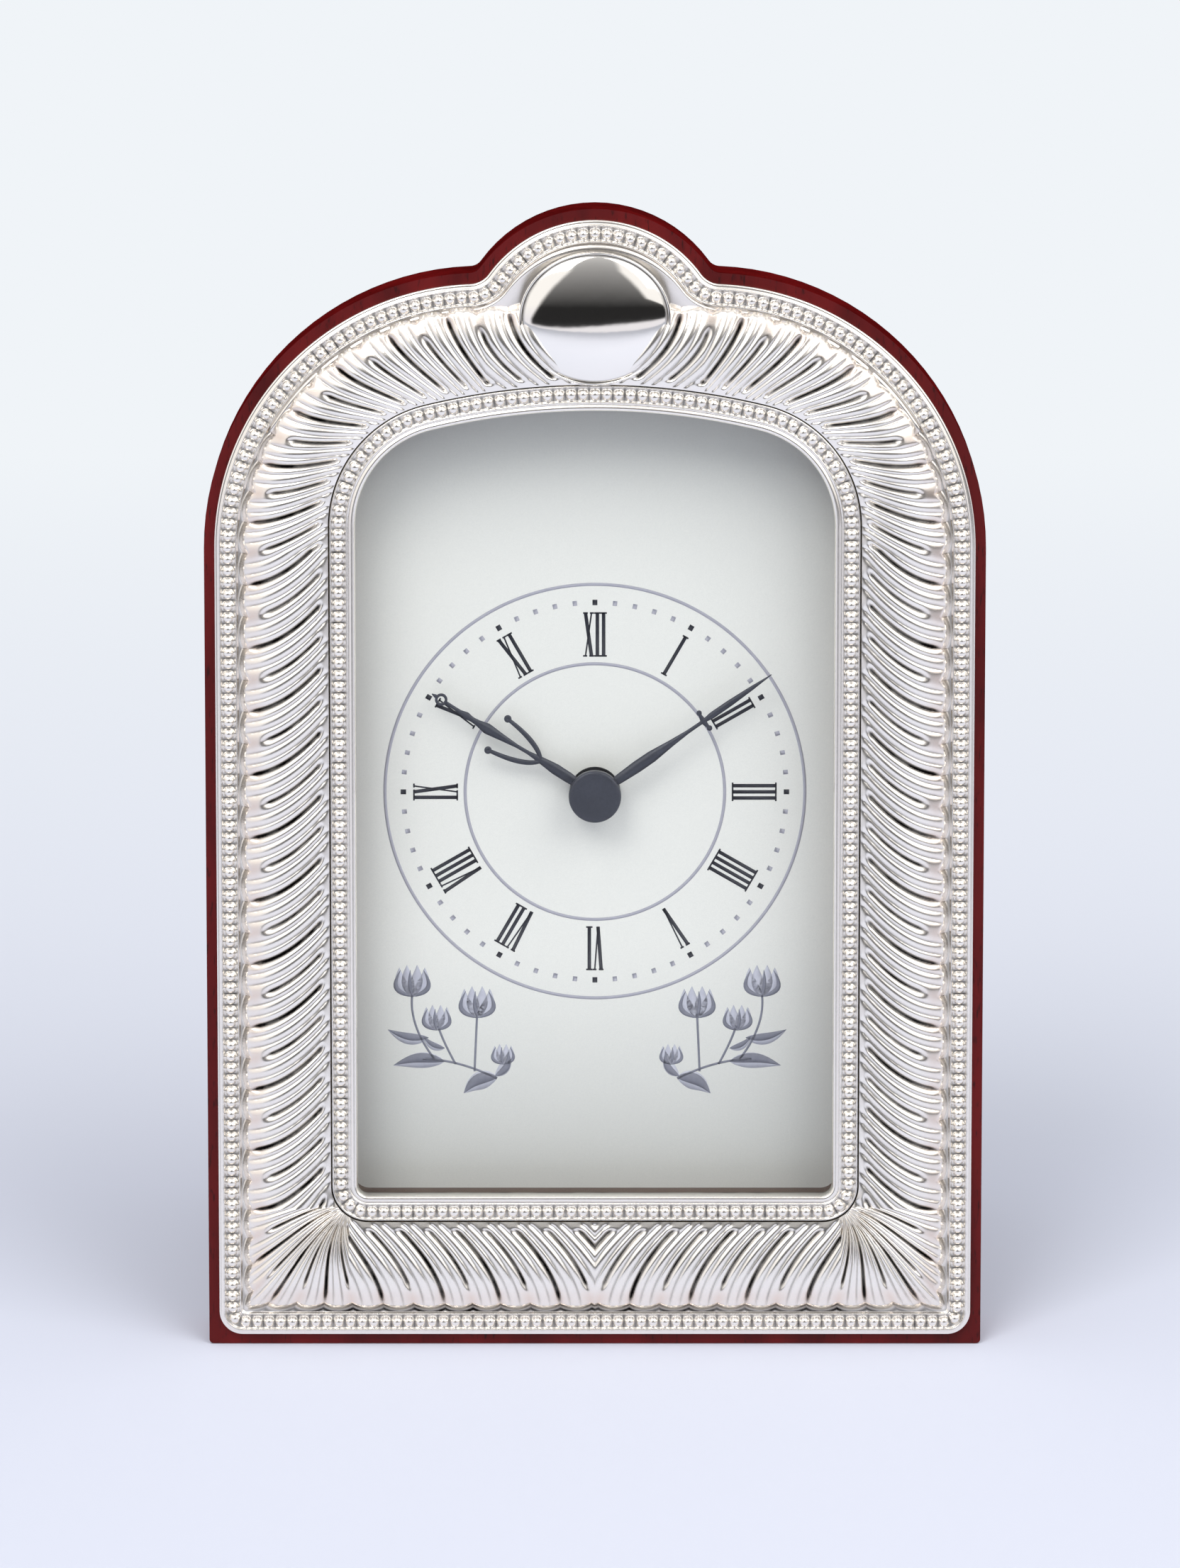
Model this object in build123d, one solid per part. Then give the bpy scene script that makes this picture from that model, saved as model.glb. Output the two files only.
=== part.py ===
from build123d import *

import math
import os
from dataclasses import dataclass, fields

# A silver-fronted table clock in a photo-frame body. It is modelled flat, in millimetres: X right,
# Y up the board, Z out of the front, with the board's front face at Z 0. stand_up() then leans it back.

# How it stands
lean = 10.0
strut_opening = 19.5
overrun = 1.0
running_gap = 0.05
seat_gap = 0.15

# Mahogany board
board_width = 114.0
board_thickness = 11.0
board_foot_radius = 0.6
board_back_chamfer = 2.0
corner_radius = 40.4
corner_height = 118.8
hump_radius = 20.5
hump_height = 148.0
notch_radius = 2.0

# Window in the silver, and the pocket behind it
window_width = 69.8
window_foot = 22.8
window_foot_radius = 1.5
window_corner_radius = 14.5
window_corner_height = 122.3
window_crown_radius = 101.0
pocket_margin = 3.0
glass_thickness = 2.0
dial_depth = 7.4
dial_thickness = 0.8
spacer_reveal = 0.9
dial_height = 81.5
dial_hole_radius = 3.3

# Pressed silver front
silver_inset = 1.5
silver_foot_radius = 3.5
silver_rim_height = 1.0
bead_start = 0.6
bead_width = 2.8
bead_height = 0.9
bead_slope = 0.8
flute_start = 3.8
flute_foot_height = 1.4
flute_shoulder_height = 3.3
flute_crest_height = 3.7
flute_inner_height = 2.6
flute_shoulder_share = 0.28
flute_crest_share = 0.55
flute_outer_crown_radius = 600.0
inner_band_height = 2.2
inner_bead_start = 1.1
inner_bead_width = 2.6
flute_inner_start = 3.9
silver_thickness = 1.2
former_start_share = 0.08
former_end_share = 0.95

# Swirled flutes
flute_pitch = 9.07
flute_first = 6.5
flute_last_half = 9.5
flute_lead = 6.2
flute_shares = (0.97, 0.55, 0.13)
flute_depths = (0.9, 1.05, 0.35)
flute_half_angle = 48.0
guide_foot_radius = 9.0
cutter_height = 2.2

# Plain oval cartouche in the hump
cartouche_width = 21.6
cartouche_length = 19.0
cartouche_height = 153.2
cartouche_pad_height = 2.6
cartouche_dome = 2.0
dome_angles = (0.0, 45.0, 80.0)
cartouche_moat = 1.0
cartouche_core_height = 1.6
cartouche_core_margin = 2.4

# Quartz movement. Its wheels, motor, circuit and cell follow the case's size.
case_size = 56.0
case_depth = 16.5
case_wall = 1.2
case_corner_radius = 2.0
washer_thickness = 0.6
washer_radius = 8.0
case_hole_gap = 0.7
boss_radius = 3.1
boss_front = 5.8
ring_radius = 3.75
ring_thickness = 0.5
plate_thickness = 1.0
post_size = 2.6
post_inset = 3.0
pillar_size = 1.8
bridge_thickness = 0.8

# Depths of the layers inside the case, behind its front face
hour_layer = 1.6
minute_layer = 3.4
front_plate_layer = 5.2
centre_layer = 6.8
third_layer = 8.2
second_layer = 9.6
rotor_layer = 11.0
bridge_layer = 12.6
wheel_thickness = 0.8
hand_wheel_thickness = 1.2

# Hands and the pipes that carry them
hour_pipe_radius = 2.1
hour_pipe_bore = 1.35
hour_pipe_front = 5.0
minute_pipe_radius = 1.3
minute_pipe_front = 3.6
minute_journal_radius = 1.0
hand_thickness = 0.4
hour_hand_front = 5.1
minute_hand_front = 4.0
hour_hand_length = 27.3
minute_hand_length = 31.5
hour_hand_angle = 302.0
minute_hand_angle = 55.2
hour_hub_radius = 3.4
hour_ring_radius = 0.95
hour_ring_bore = 0.55
minute_hub_radius = 2.8
minute_bar_share = 0.62
minute_bar_width = 2.4
minute_bar_height = 0.5

# Outlines of the hands: half widths, each with its share of the hand's length
hour_blade = ((0.7, 0.0), (0.75, 0.22), (0.25, 0.42), (0.5, 0.64), (0.2, 0.94), (0.0, 0.94))
hour_scroll = ((0.0, 0.39), (1.7, 0.47), (2.8, 0.6), (2.3, 0.64), (1.3, 0.53), (0.0, 0.46))
minute_blade = ((0.7, 0.0), (0.85, 0.16), (0.2, 0.6), (0.42, 0.66), (0.34, 0.93), (0.0, 1.0))
cap_radius = 3.85
cap_front = 2.6
cap_chamfer = 0.4

# Wheels: teeth, and the modules that make their centre distances agree
cannon_teeth = 10
motion_teeth = 30
motion_pinion_teeth = 8
hour_teeth = 32
hand_module_share = 1 / 112
leaves = 6
centre_teeth = 48
centre_module_share = 0.68
third_teeth = 45
second_teeth = 30
second_module_share = 1.04
intermediate_teeth = 36
intermediate_module_share = 0.56
addendum_share = 0.7
dedendum_share = 1.3
tooth_tip_share = 0.04
arbor_radius = 0.4
motion_stem_radius = 1.0
motion_pivot_radius = 0.7
motion_direction = 50.0
third_direction = 125.0
intermediate_direction = -15.0
rotor_direction = 20.0
rotor_radius_share = 0.05
rotor_length = 3.0
knob_radius = 3.4
knob_length = 2.2
knob_gap = 0.3
knob_flutes = 12
knob_notch = 0.9

# Stepping motor, circuit and cell
stator_ring_share = 0.09
stator_gap = 0.4
stator_thickness = 1.0
stator_arm_share = 0.046
coil_side_gap = 1.7
coil_radius_share = 0.041
coil_low_share = 0.09
coil_length_share = 0.4
flange_thickness = 0.8
flange_size_share = 0.093
flange_depth = 4.8
core_size = 1.2
circuit_side_gap = 0.8
circuit_height_share = 0.125
circuit_thickness = 0.8
circuit_top_gap = 0.7
crystal_radius = 1.0
crystal_length = 6.2
crystal_share = 0.215
chip_radius = 2.2
chip_height = 0.7
cell_radius_share = 0.1277
cell_length_share = 0.8786
cell_side_gap = 0.65
nub_radius = 2.75
nub_length = 1.3
contact_thickness = 0.4
contact_size = 8.0
strip_width = 3.0

# Easel strut and its hinge
hinge_rise = 8.5
pin_radius = 1.0
knuckle_radius = 2.0
hinge_width = 44.0
knuckles = 3
knuckle_gap = 0.15
leaf_thickness = 0.8
leaf_setback = 0.3
board_leaf_height = 13.0
hinge_gap = 0.3
stop_gap = 0.15
strut_thickness = 6.0
strut_top_stile = 8.2
strut_foot_stile = 11.7
strut_shoulder_radius = 15.0
strut_chamfer = 0.8
strut_window_side_gap = 1.3
strut_window_top_gap = 1.0
strut_window_foot_gap = 7.0
strut_window_radius = 3.0
strut_arch_width = 46.0
strut_arch_height = 7.0
screw_radius = 1.2
board_screw_length = 3.0
strut_screw_length = 5.0
screws_per_leaf = 2
screw_spread = 28.0

# Sizes that follow from those above
board_half = board_width / 2
window_half = window_width / 2
case_front = dial_depth + dial_thickness + washer_thickness
case_back = case_front + case_depth
case_half = case_size / 2
inner_half = case_half - case_wall
hand_module = hand_module_share * case_size
centre_module = centre_module_share * hand_module
second_module = second_module_share * hand_module
intermediate_module = intermediate_module_share * hand_module
pinion_third_distance = (centre_teeth + leaves) * centre_module / 2
third_module = 2 * pinion_third_distance / (third_teeth + leaves)
motion_distance = (cannon_teeth + motion_teeth) * hand_module / 2
intermediate_distance = (second_teeth + leaves) * second_module / 2
rotor_distance = (intermediate_teeth + leaves) * intermediate_module / 2
rotor_radius = rotor_radius_share * case_size
stator_ring_radius = stator_ring_share * case_size
stator_arm_width = stator_arm_share * case_size
flange_size = flange_size_share * case_size
coil_radius = coil_radius_share * case_size
coil_length = coil_length_share * case_size
coil_position = inner_half - coil_side_gap - flange_size / 2
circuit_width = 2 * (inner_half - circuit_side_gap)
circuit_height = circuit_height_share * case_size
circuit_centre = inner_half - circuit_top_gap - circuit_height / 2
cell_radius = cell_radius_share * case_size
cell_length = cell_length_share * case_size
cell_drop = inner_half - cell_side_gap - cell_radius
bay_top = inner_half - 2 * (cell_radius + cell_side_gap) - case_wall
nub_end = inner_half - contact_thickness - seat_gap
flat_end = nub_end - nub_length - cell_length
hinge_height = dial_height + case_half + hinge_rise
strut_window_top = dial_height + case_half + strut_window_top_gap
strut_window_foot = dial_height - case_half - strut_window_foot_gap
strut_window_width = case_size + 2 * strut_window_side_gap
strut_leaf_foot = strut_window_top + leaf_setback
hinge_depth = board_thickness + hinge_gap + knuckle_radius
strut_front = hinge_depth + knuckle_radius + hinge_gap
dial_margin = pocket_margin - seat_gap


def polar(distance, direction, start=(0.0, 0.0)):
    """The point at a distance and a direction in degrees from a start point."""
    turn = math.radians(direction)
    return (start[0] + distance * math.cos(turn), start[1] + distance * math.sin(turn))


def direction_to(start, end):
    """The direction in degrees from one point to another."""
    return math.degrees(math.atan2(end[1] - start[1], end[0] - start[0]))


dial_centre = (0.0, dial_height)
motion_centre = polar(motion_distance, motion_direction, dial_centre)
third_centre = polar(pinion_third_distance, third_direction, dial_centre)
intermediate_centre = polar(intermediate_distance, intermediate_direction, dial_centre)
rotor_centre = polar(rotor_distance, rotor_direction, intermediate_centre)
coil_centre = (coil_position, dial_height - coil_low_share * case_size + coil_length / 2)


@dataclass(frozen=True)
class Arch:
    """A round-topped outline: level foot, straight sides, two corner arcs and a shallow crown."""

    half: float
    foot: float
    foot_radius: float
    corner_radius: float
    corner_height: float
    crown_radius: float

    def grown(self, amount):
        """The outline at an even distance outside this one, or inside it if the amount is negative."""
        return Arch(
            self.half + amount,
            self.foot - amount,
            self.foot_radius + amount,
            self.corner_radius + amount,
            self.corner_height,
            self.crown_radius + amount,
        )

    def towards(self, other, share):
        """The outline part of the way from this one to another."""
        mixed = {
            f.name: (1 - share) * getattr(self, f.name) + share * getattr(other, f.name)
            for f in fields(self)
        }
        bend = (1 - share) / self.crown_radius + share / other.crown_radius
        mixed["crown_radius"] = 1 / bend
        return Arch(**mixed)

    def centres(self):
        """Corner arc centre, crown arc centre, and the direction in degrees where the two arcs meet."""
        corner = (self.half - self.corner_radius, self.corner_height)
        reach = self.crown_radius - self.corner_radius
        crown = (0.0, self.corner_height - math.sqrt(reach**2 - corner[0] ** 2))
        return corner, crown, direction_to(crown, corner)

    def wire(self, height=0.0):
        """The closed wire of the outline, at a height above the board."""
        corner, crown, meet = self.centres()
        low = self.foot + self.foot_radius
        level = self.half - self.foot_radius
        edges = [
            Line((-level, self.foot), (level, self.foot)),
            CenterArc((level, low), self.foot_radius, -90, 90),
            Line((self.half, low), (self.half, self.corner_height)),
            CenterArc(corner, self.corner_radius, 0, meet),
            CenterArc(crown, self.crown_radius, meet, 180 - 2 * meet),
            CenterArc((-corner[0], corner[1]), self.corner_radius, 180 - meet, meet),
            Line((-self.half, self.corner_height), (-self.half, low)),
            CenterArc((-level, low), self.foot_radius, 180, 90),
        ]
        return Pos(0, 0, height) * Wire(edges)

    def slab(self, low, high):
        """The outline as a plate between two heights."""
        return extrude(Face(self.wire(low)), amount=high - low, dir=(0, 0, 1))

    def place(self, along, out):
        """A point beside the right half of the outline.

        along is the distance from the middle of the foot, and out is the distance outside the line.
        """
        corner, crown, meet = self.centres()
        low = self.foot + self.foot_radius
        level = self.half - self.foot_radius
        side = self.corner_height - low
        foot_arc = self.foot_radius * math.pi / 2
        corner_arc = self.corner_radius * math.radians(meet)
        if along < level:
            return (along, self.foot - out)
        along -= level
        if along < foot_arc:
            turn = math.degrees(along / self.foot_radius) - 90
            return polar(self.foot_radius + out, turn, (level, low))
        along -= foot_arc
        if along < side:
            return (self.half + out, low + along)
        along -= side
        if along < corner_arc:
            turn = math.degrees(along / self.corner_radius)
            return polar(self.corner_radius + out, turn, corner)
        along -= corner_arc
        turn = meet + math.degrees(along / self.crown_radius)
        return polar(self.crown_radius + out, turn, crown)

    def half_length(self):
        """The length from the middle of the foot to the middle of the crown."""
        corner, crown, meet = self.centres()
        level = self.half - self.foot_radius
        side = self.corner_height - self.foot - self.foot_radius
        arcs = self.foot_radius * math.pi / 2 + self.corner_radius * math.radians(meet)
        return level + side + arcs + self.crown_radius * math.radians(90 - meet)


def humped_wire(inset, foot_radius, height=0.0):
    """The board's outline with its hump, at an even distance inside the board's edge."""
    corner = (board_half - corner_radius, corner_height)
    hump = (0.0, hump_height)
    # the notch arc touches the corner arc and the hump arc, so its centre is one notch radius outside both
    corner_reach, hump_reach = corner_radius + notch_radius, hump_radius + notch_radius
    apart = math.dist(corner, hump)
    along = (corner_reach**2 - hump_reach**2 + apart**2) / (2 * apart)
    swing = math.degrees(math.acos(along / corner_reach))
    notch = polar(corner_reach, direction_to(corner, hump) - swing, corner)
    corner_end, hump_end = direction_to(corner, notch), direction_to(hump, notch)
    half, foot = board_half - inset, inset
    low, level = foot + foot_radius, half - foot_radius
    notch_start = corner_end + 180
    notch_swing = hump_end + 180 - notch_start
    dip = notch_radius + inset
    edges = [
        Line((-level, foot), (level, foot)),
        CenterArc((level, low), foot_radius, -90, 90),
        Line((half, low), (half, corner_height)),
        CenterArc(corner, corner_radius - inset, 0, corner_end),
        CenterArc(notch, dip, notch_start, notch_swing),
        CenterArc(hump, hump_radius - inset, hump_end, 180 - 2 * hump_end),
        CenterArc((-notch[0], notch[1]), dip, -hump_end, notch_swing),
        CenterArc((-corner[0], corner[1]), corner_radius - inset, 180 - corner_end, corner_end),
        Line((-half, corner_height), (-half, low)),
        CenterArc((-level, low), foot_radius, 180, 90),
    ]
    return Pos(0, 0, height) * Wire(edges)


def humped_slab(inset, foot_radius, low, high):
    """The humped outline as a plate between two heights."""
    return extrude(Face(humped_wire(inset, foot_radius, low)), amount=high - low, dir=(0, 0, 1))


window = Arch(
    window_half,
    window_foot,
    window_foot_radius,
    window_corner_radius,
    window_corner_height,
    window_crown_radius,
)
flute_inset = silver_inset + flute_start
flute_outer = Arch(
    board_half - flute_inset,
    flute_inset,
    board_foot_radius,
    corner_radius - flute_inset,
    corner_height,
    flute_outer_crown_radius,
)
flute_inner = window.grown(flute_inner_start)
flute_middle = flute_outer.towards(flute_inner, 1 / 2)
guide = Arch(
    flute_middle.half,
    flute_middle.foot,
    guide_foot_radius,
    flute_middle.corner_radius,
    flute_middle.corner_height,
    flute_middle.crown_radius,
)
pocket = window.grown(pocket_margin)


def ruled(low_wire, high_wire):
    """The solid between two like wires at different heights."""
    return Solid.make_loft([low_wire, high_wire], ruled=True)


def rod(radius, back, front, centre=(0.0, 0.0)):
    """A round bar between two depths behind the board's front face."""
    return Pos(centre[0], centre[1], -back) * Cylinder(
        radius, back - front, align=(Align.CENTER, Align.CENTER, Align.MIN)
    )


def block(width, height, back, front, centre=(0.0, 0.0), corner=0.0):
    """A plate with rounded corners between two depths behind the board's front face."""
    face = RectangleRounded(width, height, corner) if corner else Rectangle(width, height)
    return extrude(Pos(centre[0], centre[1], -back) * face, amount=back - front)


def back_board():
    """Mahogany board: pocket for glass, spacer and dial, and a square hole for the movement."""
    edge = board_back_chamfer - board_thickness
    solid = humped_slab(0, board_foot_radius, edge, 0)
    rear = humped_wire(board_back_chamfer, board_foot_radius, -board_thickness)
    solid += ruled(rear, humped_wire(0, board_foot_radius, edge))
    solid -= pocket.slab(-dial_depth - dial_thickness, overrun)
    opening = case_size + 2 * case_hole_gap
    solid -= block(
        opening, opening, board_thickness + overrun, 0, dial_centre, case_corner_radius + case_hole_gap
    )
    for place in screw_places(board_screw_height()):
        tip = board_thickness + leaf_thickness - board_screw_length
        solid -= rod(screw_radius, board_thickness + overrun, tip, place)
    return solid


def flute_core(drop, start_share, end_share):
    """The convex moulding under the flutes, lowered by the silver's thickness for the former."""
    places = [(start_share, 0 if drop else flute_foot_height), (flute_crest_share, flute_crest_height - drop)]
    if not drop:
        places.insert(1, (flute_shoulder_share, flute_shoulder_height))
    wires = [flute_outer.towards(flute_inner, share).wire(height) for share, height in places]
    solid = ruled(wires[0], wires[1])
    if not drop:
        solid += ruled(wires[1], wires[2])
        solid += flute_outer.slab(0, flute_foot_height)
    end = flute_outer.towards(flute_inner, end_share)
    solid -= ruled(end.wire(flute_inner_height - drop), wires[-1])
    return solid - end.slab(-overrun, flute_crest_height)


def cartouche_oval(margin, low, high):
    """An upright oval plate at the cartouche, larger than it by a margin."""
    oval = Ellipse(cartouche_width / 2 + margin, cartouche_length / 2 + margin)
    return extrude(Pos(0, cartouche_height, low) * oval, amount=high - low)


def front_former():
    """Moulded resin former that fills the pressed front from behind."""
    core = flute_core(silver_thickness, former_start_share, former_end_share)
    core -= cartouche_oval(cartouche_moat, -overrun, flute_crest_height)
    boss = cartouche_oval(-cartouche_core_margin, 0, cartouche_core_height)
    return [core, boss]


def bead_band(outer_low, outer_high, inner_high, inner_low):
    """A raised band between four like wires: two at its base and two at its top."""
    return ruled(outer_low, outer_high) - ruled(inner_low, inner_high)


def outer_band():
    """The outer bead band, which follows the hump."""
    top = silver_rim_height + bead_height
    start = silver_inset + bead_start
    insets = (start, start + bead_slope, start + bead_width - bead_slope, start + bead_width)
    heights = (silver_rim_height, top, top, silver_rim_height)
    foot_radii = [max(silver_foot_radius - i + silver_inset, board_foot_radius) for i in insets]
    wires = [humped_wire(i, r, h) for i, r, h in zip(insets, foot_radii, heights)]
    return bead_band(*wires)


def inner_band():
    """The plain band beside the window, with the inner bead band on it."""
    top = inner_band_height + bead_height
    end = inner_bead_start + inner_bead_width
    grows = (end, end - bead_slope, inner_bead_start + bead_slope, inner_bead_start)
    heights = (inner_band_height, top, top, inner_band_height)
    wires = [window.grown(g).wire(h) for g, h in zip(grows, heights)]
    return window.grown(flute_inner_start).slab(0, inner_band_height) + bead_band(*wires)


def flute_height(share):
    """Height of the convex moulding at a share of the way from its outer edge to its inner edge."""
    shares = (0.0, flute_shoulder_share, flute_crest_share, 1.0)
    heights = (flute_foot_height, flute_shoulder_height, flute_crest_height, flute_inner_height)
    run = max(k for k in range(3) if share >= shares[k])
    part = (share - shares[run]) / (shares[run + 1] - shares[run])
    return heights[run] + part * (heights[run + 1] - heights[run])


def flute_cut(along):
    """One swirled groove: V sections lofted from the window's side outwards, leaning to the foot's middle."""
    half_band = (flute_outer.half - flute_inner.half) / 2
    points = []
    for share, depth in zip(flute_shares, flute_depths):
        lead = flute_lead * (1 - share**2)
        x, y = guide.place(along - lead, half_band * (1 - 2 * share))
        points.append(Vector(x, y, flute_height(share) - depth))
    run = points[-1] - points[0]
    wide = cutter_height * math.tan(math.radians(flute_half_angle))
    side = Vector(run.Y, -run.X).normalized() * wide
    rise = Vector(0, 0, cutter_height)
    return Solid.make_loft(
        [Wire.make_polygon([point, point + rise + side, point + rise - side]) for point in points], ruled=True
    )


def flute_places():
    """Distances along the guide line from the middle of the foot to each main groove."""
    count = int((guide.half_length() - flute_last_half - flute_first) / flute_pitch) + 1
    return [flute_first + flute_pitch * k for k in range(count)]


def cartouche_dome_steps():
    """The oval's dome as rings between upright ellipses that shrink as they rise."""
    across, up = (cartouche_width - cartouche_moat) / 2, (cartouche_length - cartouche_moat) / 2
    wires = []
    for angle in dome_angles:
        reach = math.cos(math.radians(angle))
        height = cartouche_pad_height + cartouche_dome * math.sin(math.radians(angle))
        wires.append(Pos(0, cartouche_height, height) * Ellipse(across * reach, up * reach).wire())
    return [ruled(low, high) for low, high in zip(wires, wires[1:])]


def silver_front():
    """Pressed silver front: rim, two bead bands, swirled flutes and the plain oval cartouche."""
    solid = humped_slab(silver_inset, silver_foot_radius, 0, silver_rim_height)
    solid += outer_band()
    solid += flute_core(0, 0, 1)
    solid += inner_band()
    cuts = []
    for place in flute_places():
        cuts.append(flute_cut(place))
    cuts += [mirror(cut, about=Plane.YZ) for cut in cuts]
    solid -= cuts
    solid -= cartouche_oval(cartouche_moat, silver_rim_height, flute_crest_height + overrun)
    solid += cartouche_oval(0, 0, cartouche_pad_height)
    solid += cartouche_dome_steps()
    for piece in front_former():
        solid -= piece
    return solid - window.slab(-overrun, flute_crest_height + overrun)


def window_glass():
    """Flat mineral glass behind the silver's lip."""
    return window.grown(dial_margin).slab(-glass_thickness, 0)


def dial_spacer():
    """Card spacer that lines the pocket and holds the glass off the dial."""
    outer = window.grown(dial_margin).slab(-dial_depth, -glass_thickness)
    return outer - window.grown(spacer_reveal).slab(-dial_depth - overrun, 0)


def dial_plate():
    """Thin metal dial plate with the centre hole."""
    plate = window.grown(dial_margin).slab(-dial_depth - dial_thickness, -dial_depth)
    return plate - rod(dial_hole_radius, case_front, 0, dial_centre)


def dial_washer():
    """Rubber washer between the dial and the movement."""
    ring = rod(washer_radius, case_front, case_front - washer_thickness, dial_centre)
    return ring - rod(dial_hole_radius, case_front + overrun, 0, dial_centre)


def retaining_ring():
    """Push-on ring that clamps the dial to the movement's boss."""
    ring = rod(ring_radius, dial_depth, dial_depth - ring_thickness, dial_centre)
    return ring - rod(boss_radius, case_front, 0, dial_centre)


def movement_case():
    """Moulded case: front wall with its boss, side walls, cell bay and the posts for plate and circuit."""
    open_back = case_back - case_wall
    inner_front = case_front + case_wall
    solid = block(case_size, case_size, open_back, case_front, dial_centre, case_corner_radius)
    hollow_height = case_half - case_wall + bay_top
    hollow_centre = (0, dial_height + inner_half - hollow_height / 2)
    solid -= block(2 * inner_half, hollow_height, case_back, inner_front, hollow_centre)
    bay_height = case_half - bay_top - 2 * case_wall
    bay_centre = (0, dial_height - inner_half + bay_height / 2)
    solid -= block(2 * inner_half, bay_height, case_back, inner_front, bay_centre)
    # the contact strips pass the bay's top wall at its two ends
    slot = 2 * contact_thickness
    for side in (-1, 1):
        place = (side * (inner_half - slot / 2), dial_height - bay_top - case_wall / 2)
        solid -= block(slot, case_wall + overrun, case_back, inner_front, place)
    for place in post_places():
        solid += block(post_size, post_size, plate_front(), case_front, place)
    for side in (-1, 1):
        place = (side * circuit_width / 3, dial_height + circuit_centre)
        solid += block(post_size, post_size, case_front + third_layer - circuit_thickness, case_front, place)
    solid += rod(boss_radius, case_front + case_wall / 2, boss_front, dial_centre)
    solid -= rod(hour_pipe_radius + running_gap, case_back, 0, dial_centre)
    pivot_floor = inner_front - case_wall / 2
    return solid - rod(motion_pivot_radius + running_gap, case_back, pivot_floor, motion_centre)


def movement_cover():
    """Rear cover over the wheels, which leaves the cell bay open."""
    height = case_half + bay_top + case_wall
    centre = (0, dial_height + case_half - height / 2)
    plate = block(case_size, height, case_back, case_back - case_wall, centre, case_corner_radius)
    return plate - rod(motion_stem_radius + running_gap * 2, case_back + overrun, 0, motion_centre)


def plate_front():
    """Depth of the front of the wheel plate."""
    return case_front + front_plate_layer


def post_places():
    """Where the case's posts meet the wheel plate."""
    low = dial_height - bay_top + post_inset
    high = dial_height + circuit_centre - 2 * post_inset
    side = inner_half - post_inset
    return [(-side, low), (side, low), (-side, high), (-side / 2, high)]


def pillar_places():
    """Where the bridge's pillars stand on the wheel plate."""
    shares = ((-0.259, 0.223), (-0.223, -0.107), (0.223, 0.223), (0.277, -0.152))
    return [(across * case_size, dial_height + up * case_size) for across, up in shares]


def wheel_plate():
    """Plate behind the hand wheels, which carries the front pivots of the running train."""
    height = bay_top + circuit_centre - circuit_height / 2 - 2 * seat_gap
    centre = (0, dial_height - bay_top + seat_gap + height / 2)
    front = plate_front()
    plate = block(2 * (inner_half - 2 * contact_thickness), height, front + plate_thickness, front, centre)
    plate -= rod(minute_journal_radius + running_gap, case_back, 0, dial_centre)
    plate -= rod(motion_stem_radius + running_gap, case_back, 0, motion_centre)
    for place in (third_centre, intermediate_centre, rotor_centre):
        plate -= rod(arbor_radius + running_gap, case_back, 0, place)
    return plate


def train_bridge():
    """Rear bridge with four pillars, which carries the rear pivots of the running train."""
    front = case_front + bridge_layer
    places = pillar_places()
    xs, ys = [p[0] for p in places], [p[1] for p in places]
    width, height = max(xs) - min(xs) + post_size, max(ys) - min(ys) + post_size
    centre = ((max(xs) + min(xs)) / 2, (max(ys) + min(ys)) / 2)
    plate = block(width, height, front + bridge_thickness, front, centre)
    for place in places:
        plate += block(pillar_size, pillar_size, front, plate_front() + plate_thickness, place)
    plate -= rod(motion_stem_radius + running_gap, case_back, 0, motion_centre)
    for place in (dial_centre, third_centre, intermediate_centre, rotor_centre):
        plate -= rod(arbor_radius + running_gap, case_back, front - overrun, place)
    return plate


def toothed(teeth, module, thickness, back, centre, facing):
    """A toothed wheel with its rear face at a depth, and a tooth in the facing direction."""
    pitch = 360 / teeth
    root = module * (teeth / 2 - dedendum_share)
    tip = module * (teeth / 2 + addendum_share)
    points = []
    for k in range(teeth):
        middle = facing + k * pitch
        points.append(polar(root, middle - pitch / 2, centre))
        points.append(polar(tip, middle - pitch * tooth_tip_share, centre))
        points.append(polar(tip, middle + pitch * tooth_tip_share, centre))
    face = make_face(Polyline(*points, close=True))
    return extrude(Pos(0, 0, -back) * face, amount=thickness)


def gap_facing(teeth, towards):
    """The facing direction that puts a gap, not a tooth, towards another wheel."""
    return towards + 180 / teeth


def arbor(centre, front_layer, rear_layer):
    """A plain arbor that runs in both plates, between two depths behind the case's front."""
    front, rear = case_front + front_layer, case_front + rear_layer
    return rod(arbor_radius, rear + bridge_thickness / 2, front - bridge_thickness / 2, centre)


def hour_wheel():
    """Hour wheel with its long pipe."""
    back = case_front + hour_layer + hand_wheel_thickness
    facing = gap_facing(hour_teeth, motion_direction)
    solid = toothed(hour_teeth, hand_module, hand_wheel_thickness, back, dial_centre, facing)
    solid += rod(hour_pipe_radius, back, hour_pipe_front, dial_centre)
    return solid - rod(hour_pipe_bore, back + overrun, 0, dial_centre)


def minute_arbor():
    """Minute pipe with its pinion, and the journal that the centre wheel slips on."""
    back = case_front + minute_layer + hand_wheel_thickness
    solid = toothed(cannon_teeth, hand_module, hand_wheel_thickness, back, dial_centre, motion_direction)
    solid += rod(minute_pipe_radius, back, minute_pipe_front, dial_centre)
    end = case_front + centre_layer + wheel_thickness + seat_gap
    solid += rod(minute_journal_radius, end, back - overrun, dial_centre)
    return solid - rod(arbor_radius + running_gap, end + overrun, end - 2 * overrun, dial_centre)


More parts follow.
